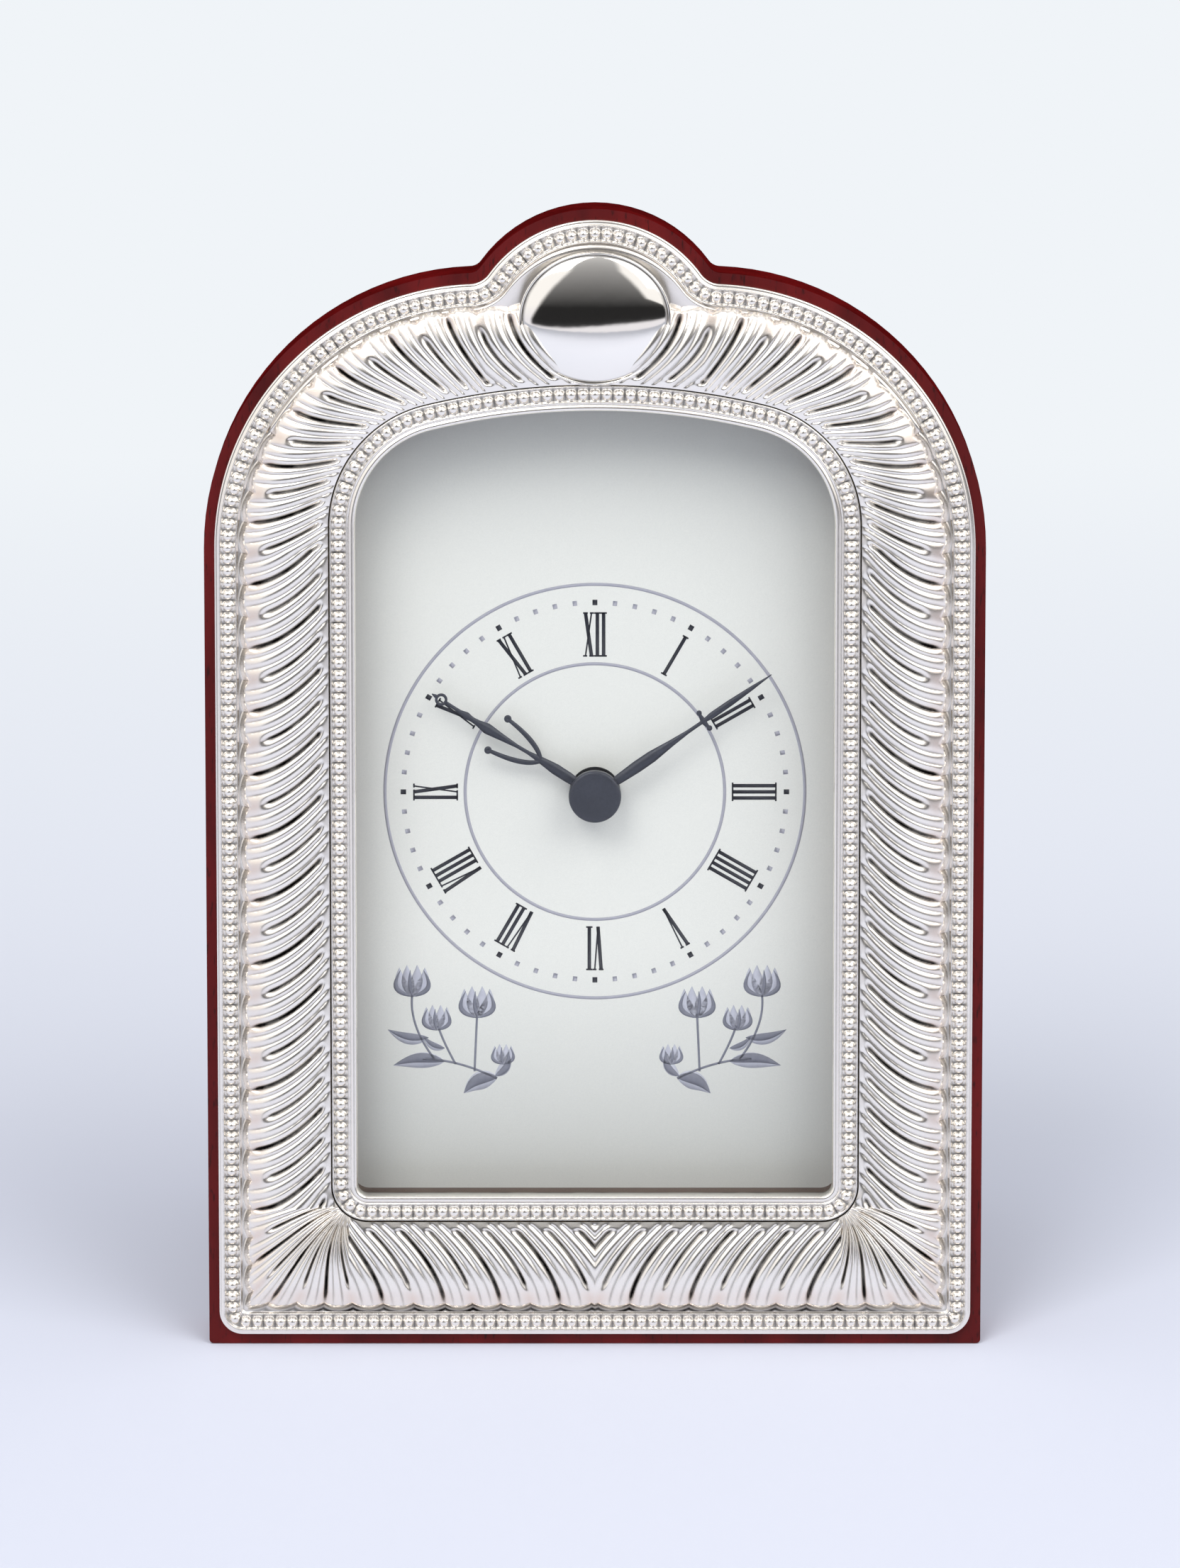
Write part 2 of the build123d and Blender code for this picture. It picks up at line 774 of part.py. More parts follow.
def motion_wheel():
    """Motion wheel and pinion on the stem that the setting knob turns."""
    back = case_front + minute_layer + hand_wheel_thickness
    pinion_back = case_front + hour_layer + hand_wheel_thickness
    facing, half = motion_direction + 180, hand_wheel_thickness / 2
    gap = gap_facing(motion_teeth, facing)
    solid = toothed(motion_teeth, hand_module, hand_wheel_thickness, back, motion_centre, gap)
    pinion = back - pinion_back + half
    solid += toothed(motion_pinion_teeth, hand_module, pinion, back - half, motion_centre, facing)
    knob_back = case_back + knob_gap + knob_length
    solid += rod(motion_stem_radius, knob_back - overrun, pinion_back, motion_centre)
    return solid + rod(motion_pivot_radius, back, case_front + case_wall / 2 + seat_gap, motion_centre)


def set_knob():
    """Fluted knob on the back that sets the hands."""
    front = case_back + knob_gap
    solid = rod(knob_radius, front + knob_length, front, motion_centre)
    for k in range(knob_flutes):
        turn = k * 360 / knob_flutes
        place = polar(knob_radius, turn, motion_centre)
        notch = Rot(0, 0, turn + 45) * Rectangle(knob_notch, knob_notch)
        low = -front - knob_length - overrun
        solid -= extrude(Pos(place[0], place[1], low) * notch, amount=knob_length + 2 * overrun)
    return solid - rod(motion_stem_radius, front + knob_length - overrun, front - overrun, motion_centre)


def centre_wheel():
    """Centre wheel, which slips on the minute arbor when the hands are set."""
    back = case_front + centre_layer + wheel_thickness
    facing = gap_facing(centre_teeth, third_direction)
    solid = toothed(centre_teeth, centre_module, wheel_thickness, back, dial_centre, facing)
    return solid - rod(minute_journal_radius + running_gap, case_back, 0, dial_centre)


def third_wheel():
    """Third wheel, with its pinion in the centre wheel."""
    pinion_back = case_front + centre_layer + wheel_thickness + seat_gap
    back = case_front + third_layer + wheel_thickness
    facing = third_direction + 180
    solid = toothed(leaves, centre_module, wheel_thickness + 2 * seat_gap, pinion_back, third_centre, facing)
    gap = gap_facing(third_teeth, facing)
    solid += toothed(third_teeth, third_module, wheel_thickness, back, third_centre, gap)
    return solid + arbor(third_centre, front_plate_layer + plate_thickness, bridge_layer)


def second_wheel():
    """Second wheel, with its pinion in the third wheel and its front pivot in the minute arbor."""
    pinion_back = case_front + third_layer + wheel_thickness + seat_gap
    back = case_front + second_layer + wheel_thickness
    thick = wheel_thickness + seat_gap
    solid = toothed(leaves, third_module, thick, pinion_back, dial_centre, third_direction)
    facing = gap_facing(second_teeth, intermediate_direction)
    solid += toothed(second_teeth, second_module, wheel_thickness, back, dial_centre, facing)
    return solid + arbor(dial_centre, centre_layer + wheel_thickness + 2 * seat_gap, bridge_layer)


def intermediate_wheel():
    """Intermediate wheel, with its pinion in the second wheel."""
    pinion_back = case_front + second_layer + wheel_thickness + seat_gap
    back = case_front + rotor_layer + wheel_thickness
    facing = intermediate_direction + 180
    place = intermediate_centre
    solid = toothed(leaves, second_module, wheel_thickness + 2 * seat_gap, pinion_back, place, facing)
    gap = gap_facing(intermediate_teeth, rotor_direction)
    solid += toothed(intermediate_teeth, intermediate_module, wheel_thickness, back, place, gap)
    return solid + arbor(place, front_plate_layer + plate_thickness, bridge_layer)


def rotor_middle():
    """Depth of the middle of the rotor's magnet and of the stator."""
    return case_front + third_layer + stator_thickness / 2


def rotor():
    """Stepping motor's rotor: a round magnet and a pinion in the intermediate wheel."""
    middle = rotor_middle()
    solid = rod(rotor_radius, middle + rotor_length / 2, middle - rotor_length / 2, rotor_centre)
    back = case_front + rotor_layer + wheel_thickness + seat_gap
    thick, facing = wheel_thickness + 2 * seat_gap, rotor_direction + 180
    solid += toothed(leaves, intermediate_module, thick, back, rotor_centre, facing)
    return solid + arbor(rotor_centre, front_plate_layer + plate_thickness, bridge_layer)


def stator():
    """Soft iron stator: a ring round the rotor with an arm to each end of the coil's core."""
    back = rotor_middle() + stator_thickness / 2
    front = back - stator_thickness
    solid = rod(stator_ring_radius, back, front, rotor_centre)
    for end in coil_ends():
        length = math.dist(rotor_centre, end)
        turn = direction_to(rotor_centre, end)
        bar = Pos(length / 2, 0, 0) * Rectangle(length + stator_arm_width, stator_arm_width)
        arm = Pos(rotor_centre[0], rotor_centre[1], -back) * Rot(0, 0, turn) * bar
        solid += extrude(arm, amount=stator_thickness)
    core_length = coil_length + 2 * stator_arm_width
    solid += block(core_size, core_length, back, front, coil_centre)
    return solid - rod(rotor_radius + stator_gap, case_back, 0, rotor_centre)


def coil_ends():
    """Where the stator's arms meet the coil's core."""
    reach = coil_length / 2 + stator_arm_width / 2
    return [(coil_centre[0], coil_centre[1] - reach), (coil_centre[0], coil_centre[1] + reach)]


def coil():
    """Copper winding on a flanged bobbin, with the iron core along its middle."""
    middle = rotor_middle()
    turned = Pos(coil_centre[0], coil_centre[1], -middle) * Rot(90, 0, 0)
    solid = turned * Cylinder(coil_radius, coil_length)
    for side in (-1, 1):
        offset = side * (coil_length - flange_thickness) / 2
        solid += turned * Pos(0, 0, offset) * Box(flange_size, flange_depth, flange_thickness)
    return solid - stator()


def circuit_board():
    """Circuit board above the wheels, with the sealed chip."""
    front = case_front + third_layer - circuit_thickness
    back = front + circuit_thickness
    centre = (0, dial_height + circuit_centre)
    board = block(circuit_width, circuit_height, back, front, centre)
    return board + rod(chip_radius, back + chip_height, back - circuit_thickness / 2, centre)


def quartz_crystal():
    """Crystal can lying on the circuit board."""
    back = case_front + third_layer
    place = Pos(-crystal_share * case_size, dial_height + circuit_centre, -back - crystal_radius)
    return place * Rot(0, 90, 0) * Cylinder(crystal_radius, crystal_length)


def cell_depth():
    """Depth of the cell's axis."""
    return case_front + case_wall + running_gap * 2 + cell_radius


def battery():
    """Round cell lying across the bay."""
    place = Pos(0, dial_height - cell_drop, -cell_depth()) * Rot(0, 90, 0)
    shell = Pos(0, 0, flat_end + cell_length / 2) * Cylinder(cell_radius, cell_length)
    return place * (shell + Pos(0, 0, nub_end - nub_length / 2) * Cylinder(nub_radius, nub_length))


def contact(side):
    """A plated contact: a strip up the case wall from a pad, or a bent leaf, at the cell's end."""
    outer = side * (inner_half - contact_thickness / 2)
    cell = dial_height - cell_drop
    strip_top = dial_height + circuit_centre
    height = strip_top - cell
    strip_front = cell_depth() - strip_width
    middle = (outer, cell + height / 2)
    strip = block(contact_thickness, height, strip_front + strip_width, strip_front, middle)
    back = cell_depth() + strip_width
    return strip + block(contact_thickness, contact_size, back, strip_front, (outer, cell))


def contact_positive():
    """Contact at the nub end of the cell."""
    return contact(1)


def contact_negative():
    """Contact at the flat end of the cell, with a bent leaf that presses on it."""
    wall = -inner_half
    depth = cell_depth()
    tip = flat_end - seat_gap
    leaf = make_face(
        Polyline((wall, -depth - strip_width), (tip, -depth), (wall, -depth + strip_width), close=True)
    )
    middle = Plane.XZ.offset(cell_drop - dial_height)
    return contact(-1) + extrude(middle * leaf, amount=contact_size / 4, both=True)


def hand_blank(length, shape, back):
    """A hand's flat blank from its outline shares, pointing up, with its rear face at a depth."""
    points = [(wide, share * length) for wide, share in shape]
    outline = points + [(-x, y) for x, y in reversed(points) if x]
    face = make_face(Polyline(*outline, close=True))
    return extrude(Pos(0, 0, -back) * face, amount=hand_thickness)


def turned_hand(blank, angle):
    """A hand turned clockwise from twelve and set on the dial's centre."""
    return Pos(dial_centre[0], dial_centre[1], 0) * Rot(0, 0, -angle) * blank


def hour_hand():
    """Serpentine hour hand with a pair of curled leaves and a ring at its tip."""
    back = hour_hand_front + hand_thickness
    solid = hand_blank(hour_hand_length, hour_blade, back) + hand_blank(hour_hand_length, hour_scroll, back)
    ring_centre = (0.0, hour_hand_length - hour_ring_radius)
    solid += rod(hour_ring_radius, back, hour_hand_front, ring_centre)
    solid -= rod(hour_ring_bore, back + overrun, 0, ring_centre)
    solid += rod(hour_hub_radius, back, hour_hand_front)
    solid -= rod(hour_pipe_radius, back + overrun, 0)
    return turned_hand(solid, hour_hand_angle)


def minute_hand():
    """Tapered minute hand with a small cross bar."""
    back = minute_hand_front + hand_thickness
    solid = hand_blank(minute_hand_length, minute_blade, back)
    bar_centre = (0, minute_bar_share * minute_hand_length)
    solid += block(minute_bar_width, minute_bar_height, back, minute_hand_front, bar_centre)
    solid += rod(minute_hub_radius, back, minute_hand_front)
    solid -= rod(minute_pipe_radius, back + overrun, 0)
    return turned_hand(solid, minute_hand_angle)


def hand_cap():
    """Round cap pressed over the end of the minute pipe."""
    solid = rod(cap_radius, minute_hand_front, cap_front)
    solid = chamfer(solid.edges().sort_by(Axis.Z)[-1], cap_chamfer)
    solid -= rod(minute_pipe_radius, minute_hand_front + overrun, minute_pipe_front)
    return Pos(dial_centre[0], dial_centre[1], 0) * solid


def screw_places(height):
    """Centres of one hinge leaf's screws."""
    middle = (screws_per_leaf - 1) / 2
    return [(screw_spread * (k - middle), height) for k in range(screws_per_leaf)]


def board_screw_height():
    """Height of the screws in the board's hinge leaf."""
    return hinge_height + knuckle_radius + board_leaf_height / 2


def strut_screw_height():
    """Height of the screws in the strut's hinge leaf."""
    return (strut_leaf_foot + hinge_height - knuckle_radius - hinge_gap) / 2


def knuckle_row(first, bore):
    """Every other knuckle of the hinge, from the first, bored for the pin."""
    pitch = hinge_width / knuckles
    row = []
    for k in range(first, knuckles, 2):
        place = Pos(-hinge_width / 2 + (k + 1 / 2) * pitch, hinge_height, -hinge_depth) * Rot(0, 90, 0)
        row.append(place * (Cylinder(knuckle_radius, pitch - 2 * knuckle_gap) - Cylinder(bore, pitch)))
    return row


def hinge_bore(radius):
    """A bar along the hinge's axis."""
    return Pos(0, hinge_height, -hinge_depth) * Rot(0, 90, 0) * Cylinder(radius, hinge_width + 2 * overrun)


def leaf_tabs(first, low, high, back, front):
    """The tabs that join a hinge leaf's plate to its knuckles."""
    pitch = hinge_width / knuckles
    tabs = []
    for k in range(first, knuckles, 2):
        x = -hinge_width / 2 + (k + 1 / 2) * pitch
        tabs.append(block(pitch - 2 * knuckle_gap, high - low, back, front, (x, (low + high) / 2)))
    return tabs


def board_screws():
    """Screw bodies through the board's hinge leaf, flush with it."""
    face = board_thickness + leaf_thickness
    places = screw_places(board_screw_height())
    return [rod(screw_radius, face, face - board_screw_length, place) for place in places]


def strut_screws():
    """Screw bodies through the strut's hinge leaf, flush with it."""
    face = strut_front - leaf_thickness
    places = screw_places(strut_screw_height())
    return [rod(screw_radius, face + strut_screw_length, face, place) for place in places]


def hinge_leaf_board():
    """Brass hinge leaf on the board, with the outer and middle knuckles."""
    back, front = board_thickness + leaf_thickness, board_thickness
    low = hinge_height + knuckle_radius + hinge_gap
    top = hinge_height + knuckle_radius + board_leaf_height
    solid = block(hinge_width, top - low, back, front, (0, (low + top) / 2))
    for tab in leaf_tabs(0, hinge_height, low + overrun, back, hinge_depth - knuckle_radius):
        solid += tab
    for knuckle in knuckle_row(0, pin_radius):
        solid += knuckle
    solid -= hinge_bore(pin_radius)
    for screw in board_screws():
        solid -= screw
    return solid


def hinge_leaf_strut():
    """Brass hinge leaf on the strut, with the two knuckles between the board's."""
    back, front = strut_front, strut_front - leaf_thickness
    high, low = hinge_height - knuckle_radius - hinge_gap, strut_leaf_foot
    solid = block(hinge_width, high - low, back, front, (0, (low + high) / 2))
    for tab in leaf_tabs(1, high - overrun, hinge_height, back, front):
        solid += tab
    for knuckle in knuckle_row(1, pin_radius + running_gap):
        solid += knuckle
    solid -= hinge_bore(pin_radius + running_gap)
    for screw in strut_screws():
        solid -= screw
    return opened(solid)


def hinge_pin():
    """Steel pin, flush with the ends of the outer knuckles."""
    return Pos(0, hinge_height, -hinge_depth) * Rot(0, 90, 0) * Cylinder(pin_radius, hinge_width)


def heel_height():
    """How far the strut's heel reaches above the hinge, so that it meets the board's leaf when open."""
    swing = math.radians(strut_opening)
    heel = strut_front - hinge_depth
    leaf = hinge_depth - board_thickness - leaf_thickness - stop_gap
    return (heel * math.cos(swing) + leaf) / math.sin(swing)


def strut_panel():
    """Mahogany strut with a window that clears the movement, and a heel that stops it when open."""
    top = hinge_height + heel_height()
    low = -board_thickness
    half_top = strut_window_width / 2 + strut_top_stile
    half_foot = strut_window_width / 2 + strut_foot_stile
    corners = ((-half_foot, low), (half_foot, low), (half_top, top), (-half_top, top))
    outline = make_face(Polyline(*corners, close=True))
    outline = fillet(outline.vertices().sort_by(Axis.Y)[-2:], strut_shoulder_radius)
    solid = extrude(Pos(0, 0, -strut_front - strut_thickness) * outline, amount=strut_thickness)
    solid = chamfer(solid.faces().sort_by(Axis.Z)[0].edges(), strut_chamfer)
    high, foot = strut_window_top, strut_window_foot
    through = strut_front + strut_thickness + overrun
    centre = (0, (high + foot) / 2)
    solid -= block(strut_window_width, high - foot, through, 0, centre, strut_window_radius)
    for screw in strut_screws():
        solid -= screw
    return opened(solid)


def opened(solid):
    """The strut's pieces swung from folded to open about the hinge."""
    hinge = Pos(0, hinge_height, -hinge_depth)
    return hinge * Rot(strut_opening, 0, 0) * Pos(0, -hinge_height, hinge_depth) * solid


def stand_up(solid):
    """A solid leaned back from the flat pose, with the board's front edge on the ground."""
    return Rot(90 - lean, 0, 0) * solid


def trimmed(solid):
    """A leaned solid cut off level with the ground."""
    size = board_width + 2 * board_thickness
    ground = Pos(0, 0, -size) * Box(4 * size, 4 * size, 2 * size)
    return solid - ground


def foot_arch():
    """The low arch between the strut's two feet, cut at the ground."""
    radius = (strut_arch_width**2 / 4 + strut_arch_height**2) / (2 * strut_arch_height)
    bar = Rot(90, 0, 0) * Cylinder(radius, 4 * board_thickness)
    reach = 2 * hinge_depth + board_thickness
    return Pos(0, reach, strut_arch_height - radius) * bar


pieces = {
    "silver_front": silver_front,
    "front_former": front_former,
    "back_board": back_board,
    "window_glass": window_glass,
    "dial_spacer": dial_spacer,
    "dial_plate": dial_plate,
    "dial_washer": dial_washer,
    "retaining_ring": retaining_ring,
    "hour_hand": hour_hand,
    "minute_hand": minute_hand,
    "hand_cap": hand_cap,
    "movement_case": movement_case,
    "movement_cover": movement_cover,
    "wheel_plate": wheel_plate,
    "train_bridge": train_bridge,
    "hour_wheel": hour_wheel,
    "minute_arbor": minute_arbor,
    "motion_wheel": motion_wheel,
    "set_knob": set_knob,
    "centre_wheel": centre_wheel,
    "third_wheel": third_wheel,
    "second_wheel": second_wheel,
    "intermediate_wheel": intermediate_wheel,
    "rotor": rotor,
    "stator": stator,
    "coil": coil,
    "circuit_board": circuit_board,
    "quartz_crystal": quartz_crystal,
    "contact_positive": contact_positive,
    "contact_negative": contact_negative,
    "battery": battery,
    "strut_panel": strut_panel,
    "hinge_leaf_board": hinge_leaf_board,
    "hinge_leaf_strut": hinge_leaf_strut,
    "hinge_pin": hinge_pin,
    "board_screws": board_screws,
    "strut_screws": strut_screws,
}
swung_groups = {"strut_screws"}


def build():
    """Every node as a list of leaned solids, on the ground and centred front to back."""
    nodes = {}
    for name, make in pieces.items():
        made = make()
        solids = list(made) if isinstance(made, list) else [made]
        if name in swung_groups:
            solids = [opened(solid) for solid in solids]
        solids = [stand_up(solid) for solid in solids]
        if name in ("back_board", "strut_panel"):
            solids = [trimmed(solid) for solid in solids]
        if name == "strut_panel":
            solids = [solid - foot_arch() for solid in solids]
        nodes[name] = [one for solid in solids for one in solid.solids()]
    boxes = [solid.bounding_box() for group in nodes.values() for solid in group]
    shift = -(min(box.min.Y for box in boxes) + max(box.max.Y for box in boxes)) / 2
    return {name: [Pos(0, shift, 0) * solid for solid in group] for name, group in nodes.items()}, shift


def main():
    """Writes one STEP file for each node."""
    nodes, shift = build()
    os.makedirs("parts", exist_ok=True)
    for name, group in nodes.items():
        export_step(group[0] if len(group) == 1 else Compound(group), f"parts/{name}.step")
    print("front to back shift", round(shift, 4))


if __name__ == "__main__":
    main()
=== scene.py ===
"""Dresses the photo frame clock: pressed silver front, lacquered board, printed dial, hands and movement."""

import logging
import math
from dataclasses import dataclass, field
from enum import Enum
from typing import Any, Optional, Sequence, Union

import bpy
import numpy as np
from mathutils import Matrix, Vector


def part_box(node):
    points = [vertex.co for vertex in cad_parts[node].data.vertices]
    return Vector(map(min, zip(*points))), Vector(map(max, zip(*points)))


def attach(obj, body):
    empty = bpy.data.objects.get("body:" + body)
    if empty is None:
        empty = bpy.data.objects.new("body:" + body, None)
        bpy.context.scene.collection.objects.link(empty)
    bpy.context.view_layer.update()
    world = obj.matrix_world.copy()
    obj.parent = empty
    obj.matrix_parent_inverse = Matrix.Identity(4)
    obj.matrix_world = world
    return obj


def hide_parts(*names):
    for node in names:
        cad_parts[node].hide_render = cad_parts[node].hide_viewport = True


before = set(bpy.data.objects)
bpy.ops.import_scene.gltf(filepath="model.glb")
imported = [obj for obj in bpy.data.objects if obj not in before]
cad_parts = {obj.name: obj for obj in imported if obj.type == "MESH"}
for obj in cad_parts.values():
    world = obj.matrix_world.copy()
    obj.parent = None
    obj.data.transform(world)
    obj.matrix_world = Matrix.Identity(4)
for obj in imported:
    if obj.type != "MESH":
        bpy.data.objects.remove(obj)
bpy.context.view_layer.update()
LOG = logging.getLogger("frame_clock")

MM = 0.001
LEAN = math.radians(10.0)
# the dial's centre up the board and its face behind the board's, in millimetres of the flat frame
DIAL_HEIGHT = 81.5
DIAL_FACE = -7.4


def flat_to_room(points: np.ndarray) -> np.ndarray:
    """Leans points from the board's flat frame into the room.

    The flat frame is in millimetres: x right, y up the board and z out of its face. The room's y is
    y sin(lean) - z cos(lean), and its z is y cos(lean) + z sin(lean), from the board's front foot edge.

    Args:
        points: Any array whose last axis is x, y, z.

    Returns:
        The same points in metres.
    """
    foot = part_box("back_board")[0][1]
    x, y, z = points[..., 0], points[..., 1], points[..., 2]
    depth = y * math.sin(LEAN) - z * math.cos(LEAN)
    height = y * math.cos(LEAN) + z * math.sin(LEAN)
    return np.stack((x * MM, depth * MM + foot, height * MM), axis=-1)


def linear(colour: str) -> tuple[float, float, float, float]:
    """Turns an sRGB hex colour into linear light.

    Args:
        colour: A colour such as "#5a1f1b".

    Returns:
        Linear red, green, blue and an alpha of 1.
    """
    parts = [int(colour[k : k + 2], 16) / 255 for k in (1, 3, 5)]
    straight = [c / 12.92 if c <= 0.04045 else ((c + 0.055) / 1.055) ** 2.4 for c in parts]
    return (straight[0], straight[1], straight[2], 1.0)


def put(tree: bpy.types.NodeTree, kind: str, feeds: Optional[dict] = None, **settings: Any) -> Any:
    """Adds a node with its settings and links.

    Args:
        tree: The node tree.
        kind: The node's type without its Shader prefix, such as "NodeTexNoise".
        feeds: Input name or number to a value, a hex colour, or a socket that is linked to it.
        **settings: The node's own properties.

    Returns:
        The new node.
    """
    node = tree.nodes.new(f"Shader{kind}")
    for name, value in settings.items():
        setattr(node, name, value)
    for name, value in (feeds or {}).items():
        if isinstance(value, bpy.types.NodeSocket):
            tree.links.new(value, node.inputs[name])
        else:
            node.inputs[name].default_value = linear(value) if isinstance(value, str) else value
    return node


def new_tree(name: str) -> tuple[bpy.types.Material, bpy.types.NodeTree, Any]:
    """Makes an empty node material.

    Args:
        name: The material's name.

    Returns:
        The material, its node tree and its output node.
    """
    material = bpy.data.materials.new(name)
    material.use_nodes = True
    tree = material.node_tree
    tree.nodes.clear()
    return material, tree, tree.nodes.new("ShaderNodeOutputMaterial")


class Grain(Enum):
    """How a surface's fine variation runs: the scales of its pattern along x, y and z."""

    EVEN = (1.0, 1.0, 1.0)
    ALONG_X = (0.06, 1.0, 1.0)


@dataclass(frozen=True)
class Finish:
    """The finish of one real material, made once and then shared."""

    name: str

    def surface(self, tree: bpy.types.NodeTree) -> Any:
        """Builds the finish's nodes and returns the shader's socket."""
        raise NotImplementedError

    def material(self) -> bpy.types.Material:
        """Finds the finish's node material, which is built the first time that a piece asks for it.

        Returns:
            The material.
        """
        found = bpy.data.materials.get(self.name)
        if found:
            return found
        material, tree, out = new_tree(self.name)
        tree.links.new(self.surface(tree), out.inputs[0])
        return material


@dataclass(frozen=True)
class WorkedFinish(Finish):
    """A plain worked surface, with fine variation in its colour, gloss and relief.

    The variation is noise whose cells are grain_mm wide: the colour moves between two near tones, the
    roughness moves by spread, and the relief is relief_mm deep. A second noise with cells as wide as
    broad_grains of them mottles the tone.
    """

    colour: str
    second: str
    roughness: float
    grain_mm: float
    relief_mm: float = 0.01
    spread: float = 0.08
    metallic: float = 0.0
    grain: Grain = Grain.EVEN
    broad_grains: float = 14.0

    def surface(self, tree: bpy.types.NodeTree) -> Any:
        """Builds the finish's nodes.

        Args:
            tree: The material's node tree.

        Returns:
            The shader's socket.
        """
        place = put(tree, "NodeTexCoord").outputs["Object"]
        run = put(tree, "NodeMapping", {"Vector": place, "Scale": self.grain.value}).outputs[0]
        scale = 1 / (self.grain_mm * MM)
        noise = put(tree, "NodeTexNoise", {"Vector": run, "Scale": scale, "Detail": 4.0})
        wide = scale / self.broad_grains
        broad = put(tree, "NodeTexNoise", {"Vector": place, "Scale": wide, "Detail": 2.0})
        tone = put(tree, "NodeMath", {0: noise.outputs[0], 1: broad.outputs[0]}, operation="MULTIPLY")
        share = put(tree, "NodeMapRange", {0: tone.outputs[0], 1: 0.1, 2: 0.45, 3: 0.0, 4: 1.0}).outputs[0]
        glossy, dull = self.roughness - self.spread, self.roughness + self.spread
        wear = {0: noise.outputs[0], 1: 0.3, 2: 0.7, 3: glossy, 4: dull}
        gloss = put(tree, "NodeMapRange", wear).outputs[0]
        relief = put(
            tree,
            "NodeBump",
            {"Strength": 0.6, "Distance": self.relief_mm * MM, "Height": noise.outputs[0]},
        ).outputs[0]
        colour = put(tree, "NodeMix", {0: share, 6: self.colour, 7: self.second}, data_type="RGBA")
        shader = put(
            tree,
            "NodeBsdfPrincipled",
            {
                "Base Color": colour.outputs[2],
                "Metallic": self.metallic,
                "Roughness": gloss,
                "Normal": relief,
            },
        )
        return shader.outputs[0]


@dataclass(frozen=True)
class PressedSilver(Finish):
    """Sterling silver sheet, pressed and polished, with black tarnish left in its recesses.

    The attribute "recess" runs from 0 on the crests to 1 at the bottom of a groove. It carries the tarnish,
    and
    also painted shade: a painted shadow line along the flutes' cut ends and painted shade at the foot of the
    window's lip. "blush" warms the colour towards the outer ends of the flutes.
    """

    roughness: float
    crest: str = "#fffbf4"
    warm: str = "#ead3c4"
    tarnish_and_shade: str = "#120f0e"
    smear_mm: float = 3.846
    ripple_mm: float = 1.923

    def surface(self, tree: bpy.types.NodeTree) -> Any:
        """Builds the finish's nodes.

        Args:
            tree: The material's node tree.

        Returns:
            The shader's socket.
        """
        recess = put(tree, "NodeAttribute", attribute_name="recess").outputs["Fac"]
        blush = put(tree, "NodeAttribute", attribute_name="blush").outputs["Fac"]
        place = put(tree, "NodeTexCoord").outputs["Object"]
        # handling marks are a few millimetres wide, and the sheet's ripple about 2 mm
        fine, broad = 1 / (self.ripple_mm * MM), 1 / (self.smear_mm * MM)
        smear = put(tree, "NodeTexNoise", {"Vector": place, "Scale": broad, "Detail": 3.0})
        ripple = put(tree, "NodeTexNoise", {"Vector": place, "Scale": fine, "Detail": 1.0})
        worn = put(tree, "NodeMapRange", {0: smear.outputs[0], 1: 0.3, 2: 0.7, 3: 0.75, 4: 1.15}).outputs[0]
        dark = put(tree, "NodeMath", {0: recess, 1: worn}, operation="MULTIPLY", use_clamp=True).outputs[0]
        tinted = put(tree, "NodeMix", {0: blush, 6: self.crest, 7: self.warm}, data_type="RGBA").outputs[2]
        gloss = put(
            tree,
            "NodeMapRange",
            {0: dark, 1: 0.0, 2: 1.0, 3: self.roughness, 4: 0.55},
        ).outputs[0]
        bump = put(
            tree,
            "NodeBump",
            {"Strength": 0.25, "Distance": 0.02 * MM, "Height": ripple.outputs[0]},
        ).outputs[0]
        # the dark colour is the real tarnish, and also paints the painted shadow and shade that the recess
        # mark carries
        colour = put(tree, "NodeMix", {0: dark, 6: tinted, 7: self.tarnish_and_shade}, data_type="RGBA")
        shader = put(
            tree,
            "NodeBsdfPrincipled",
            {
                "Base Color": colour.outputs[2],
                "Metallic": 1.0,
                "Roughness": gloss,
                "Normal": bump,
            },
        )
        return shader.outputs[0]


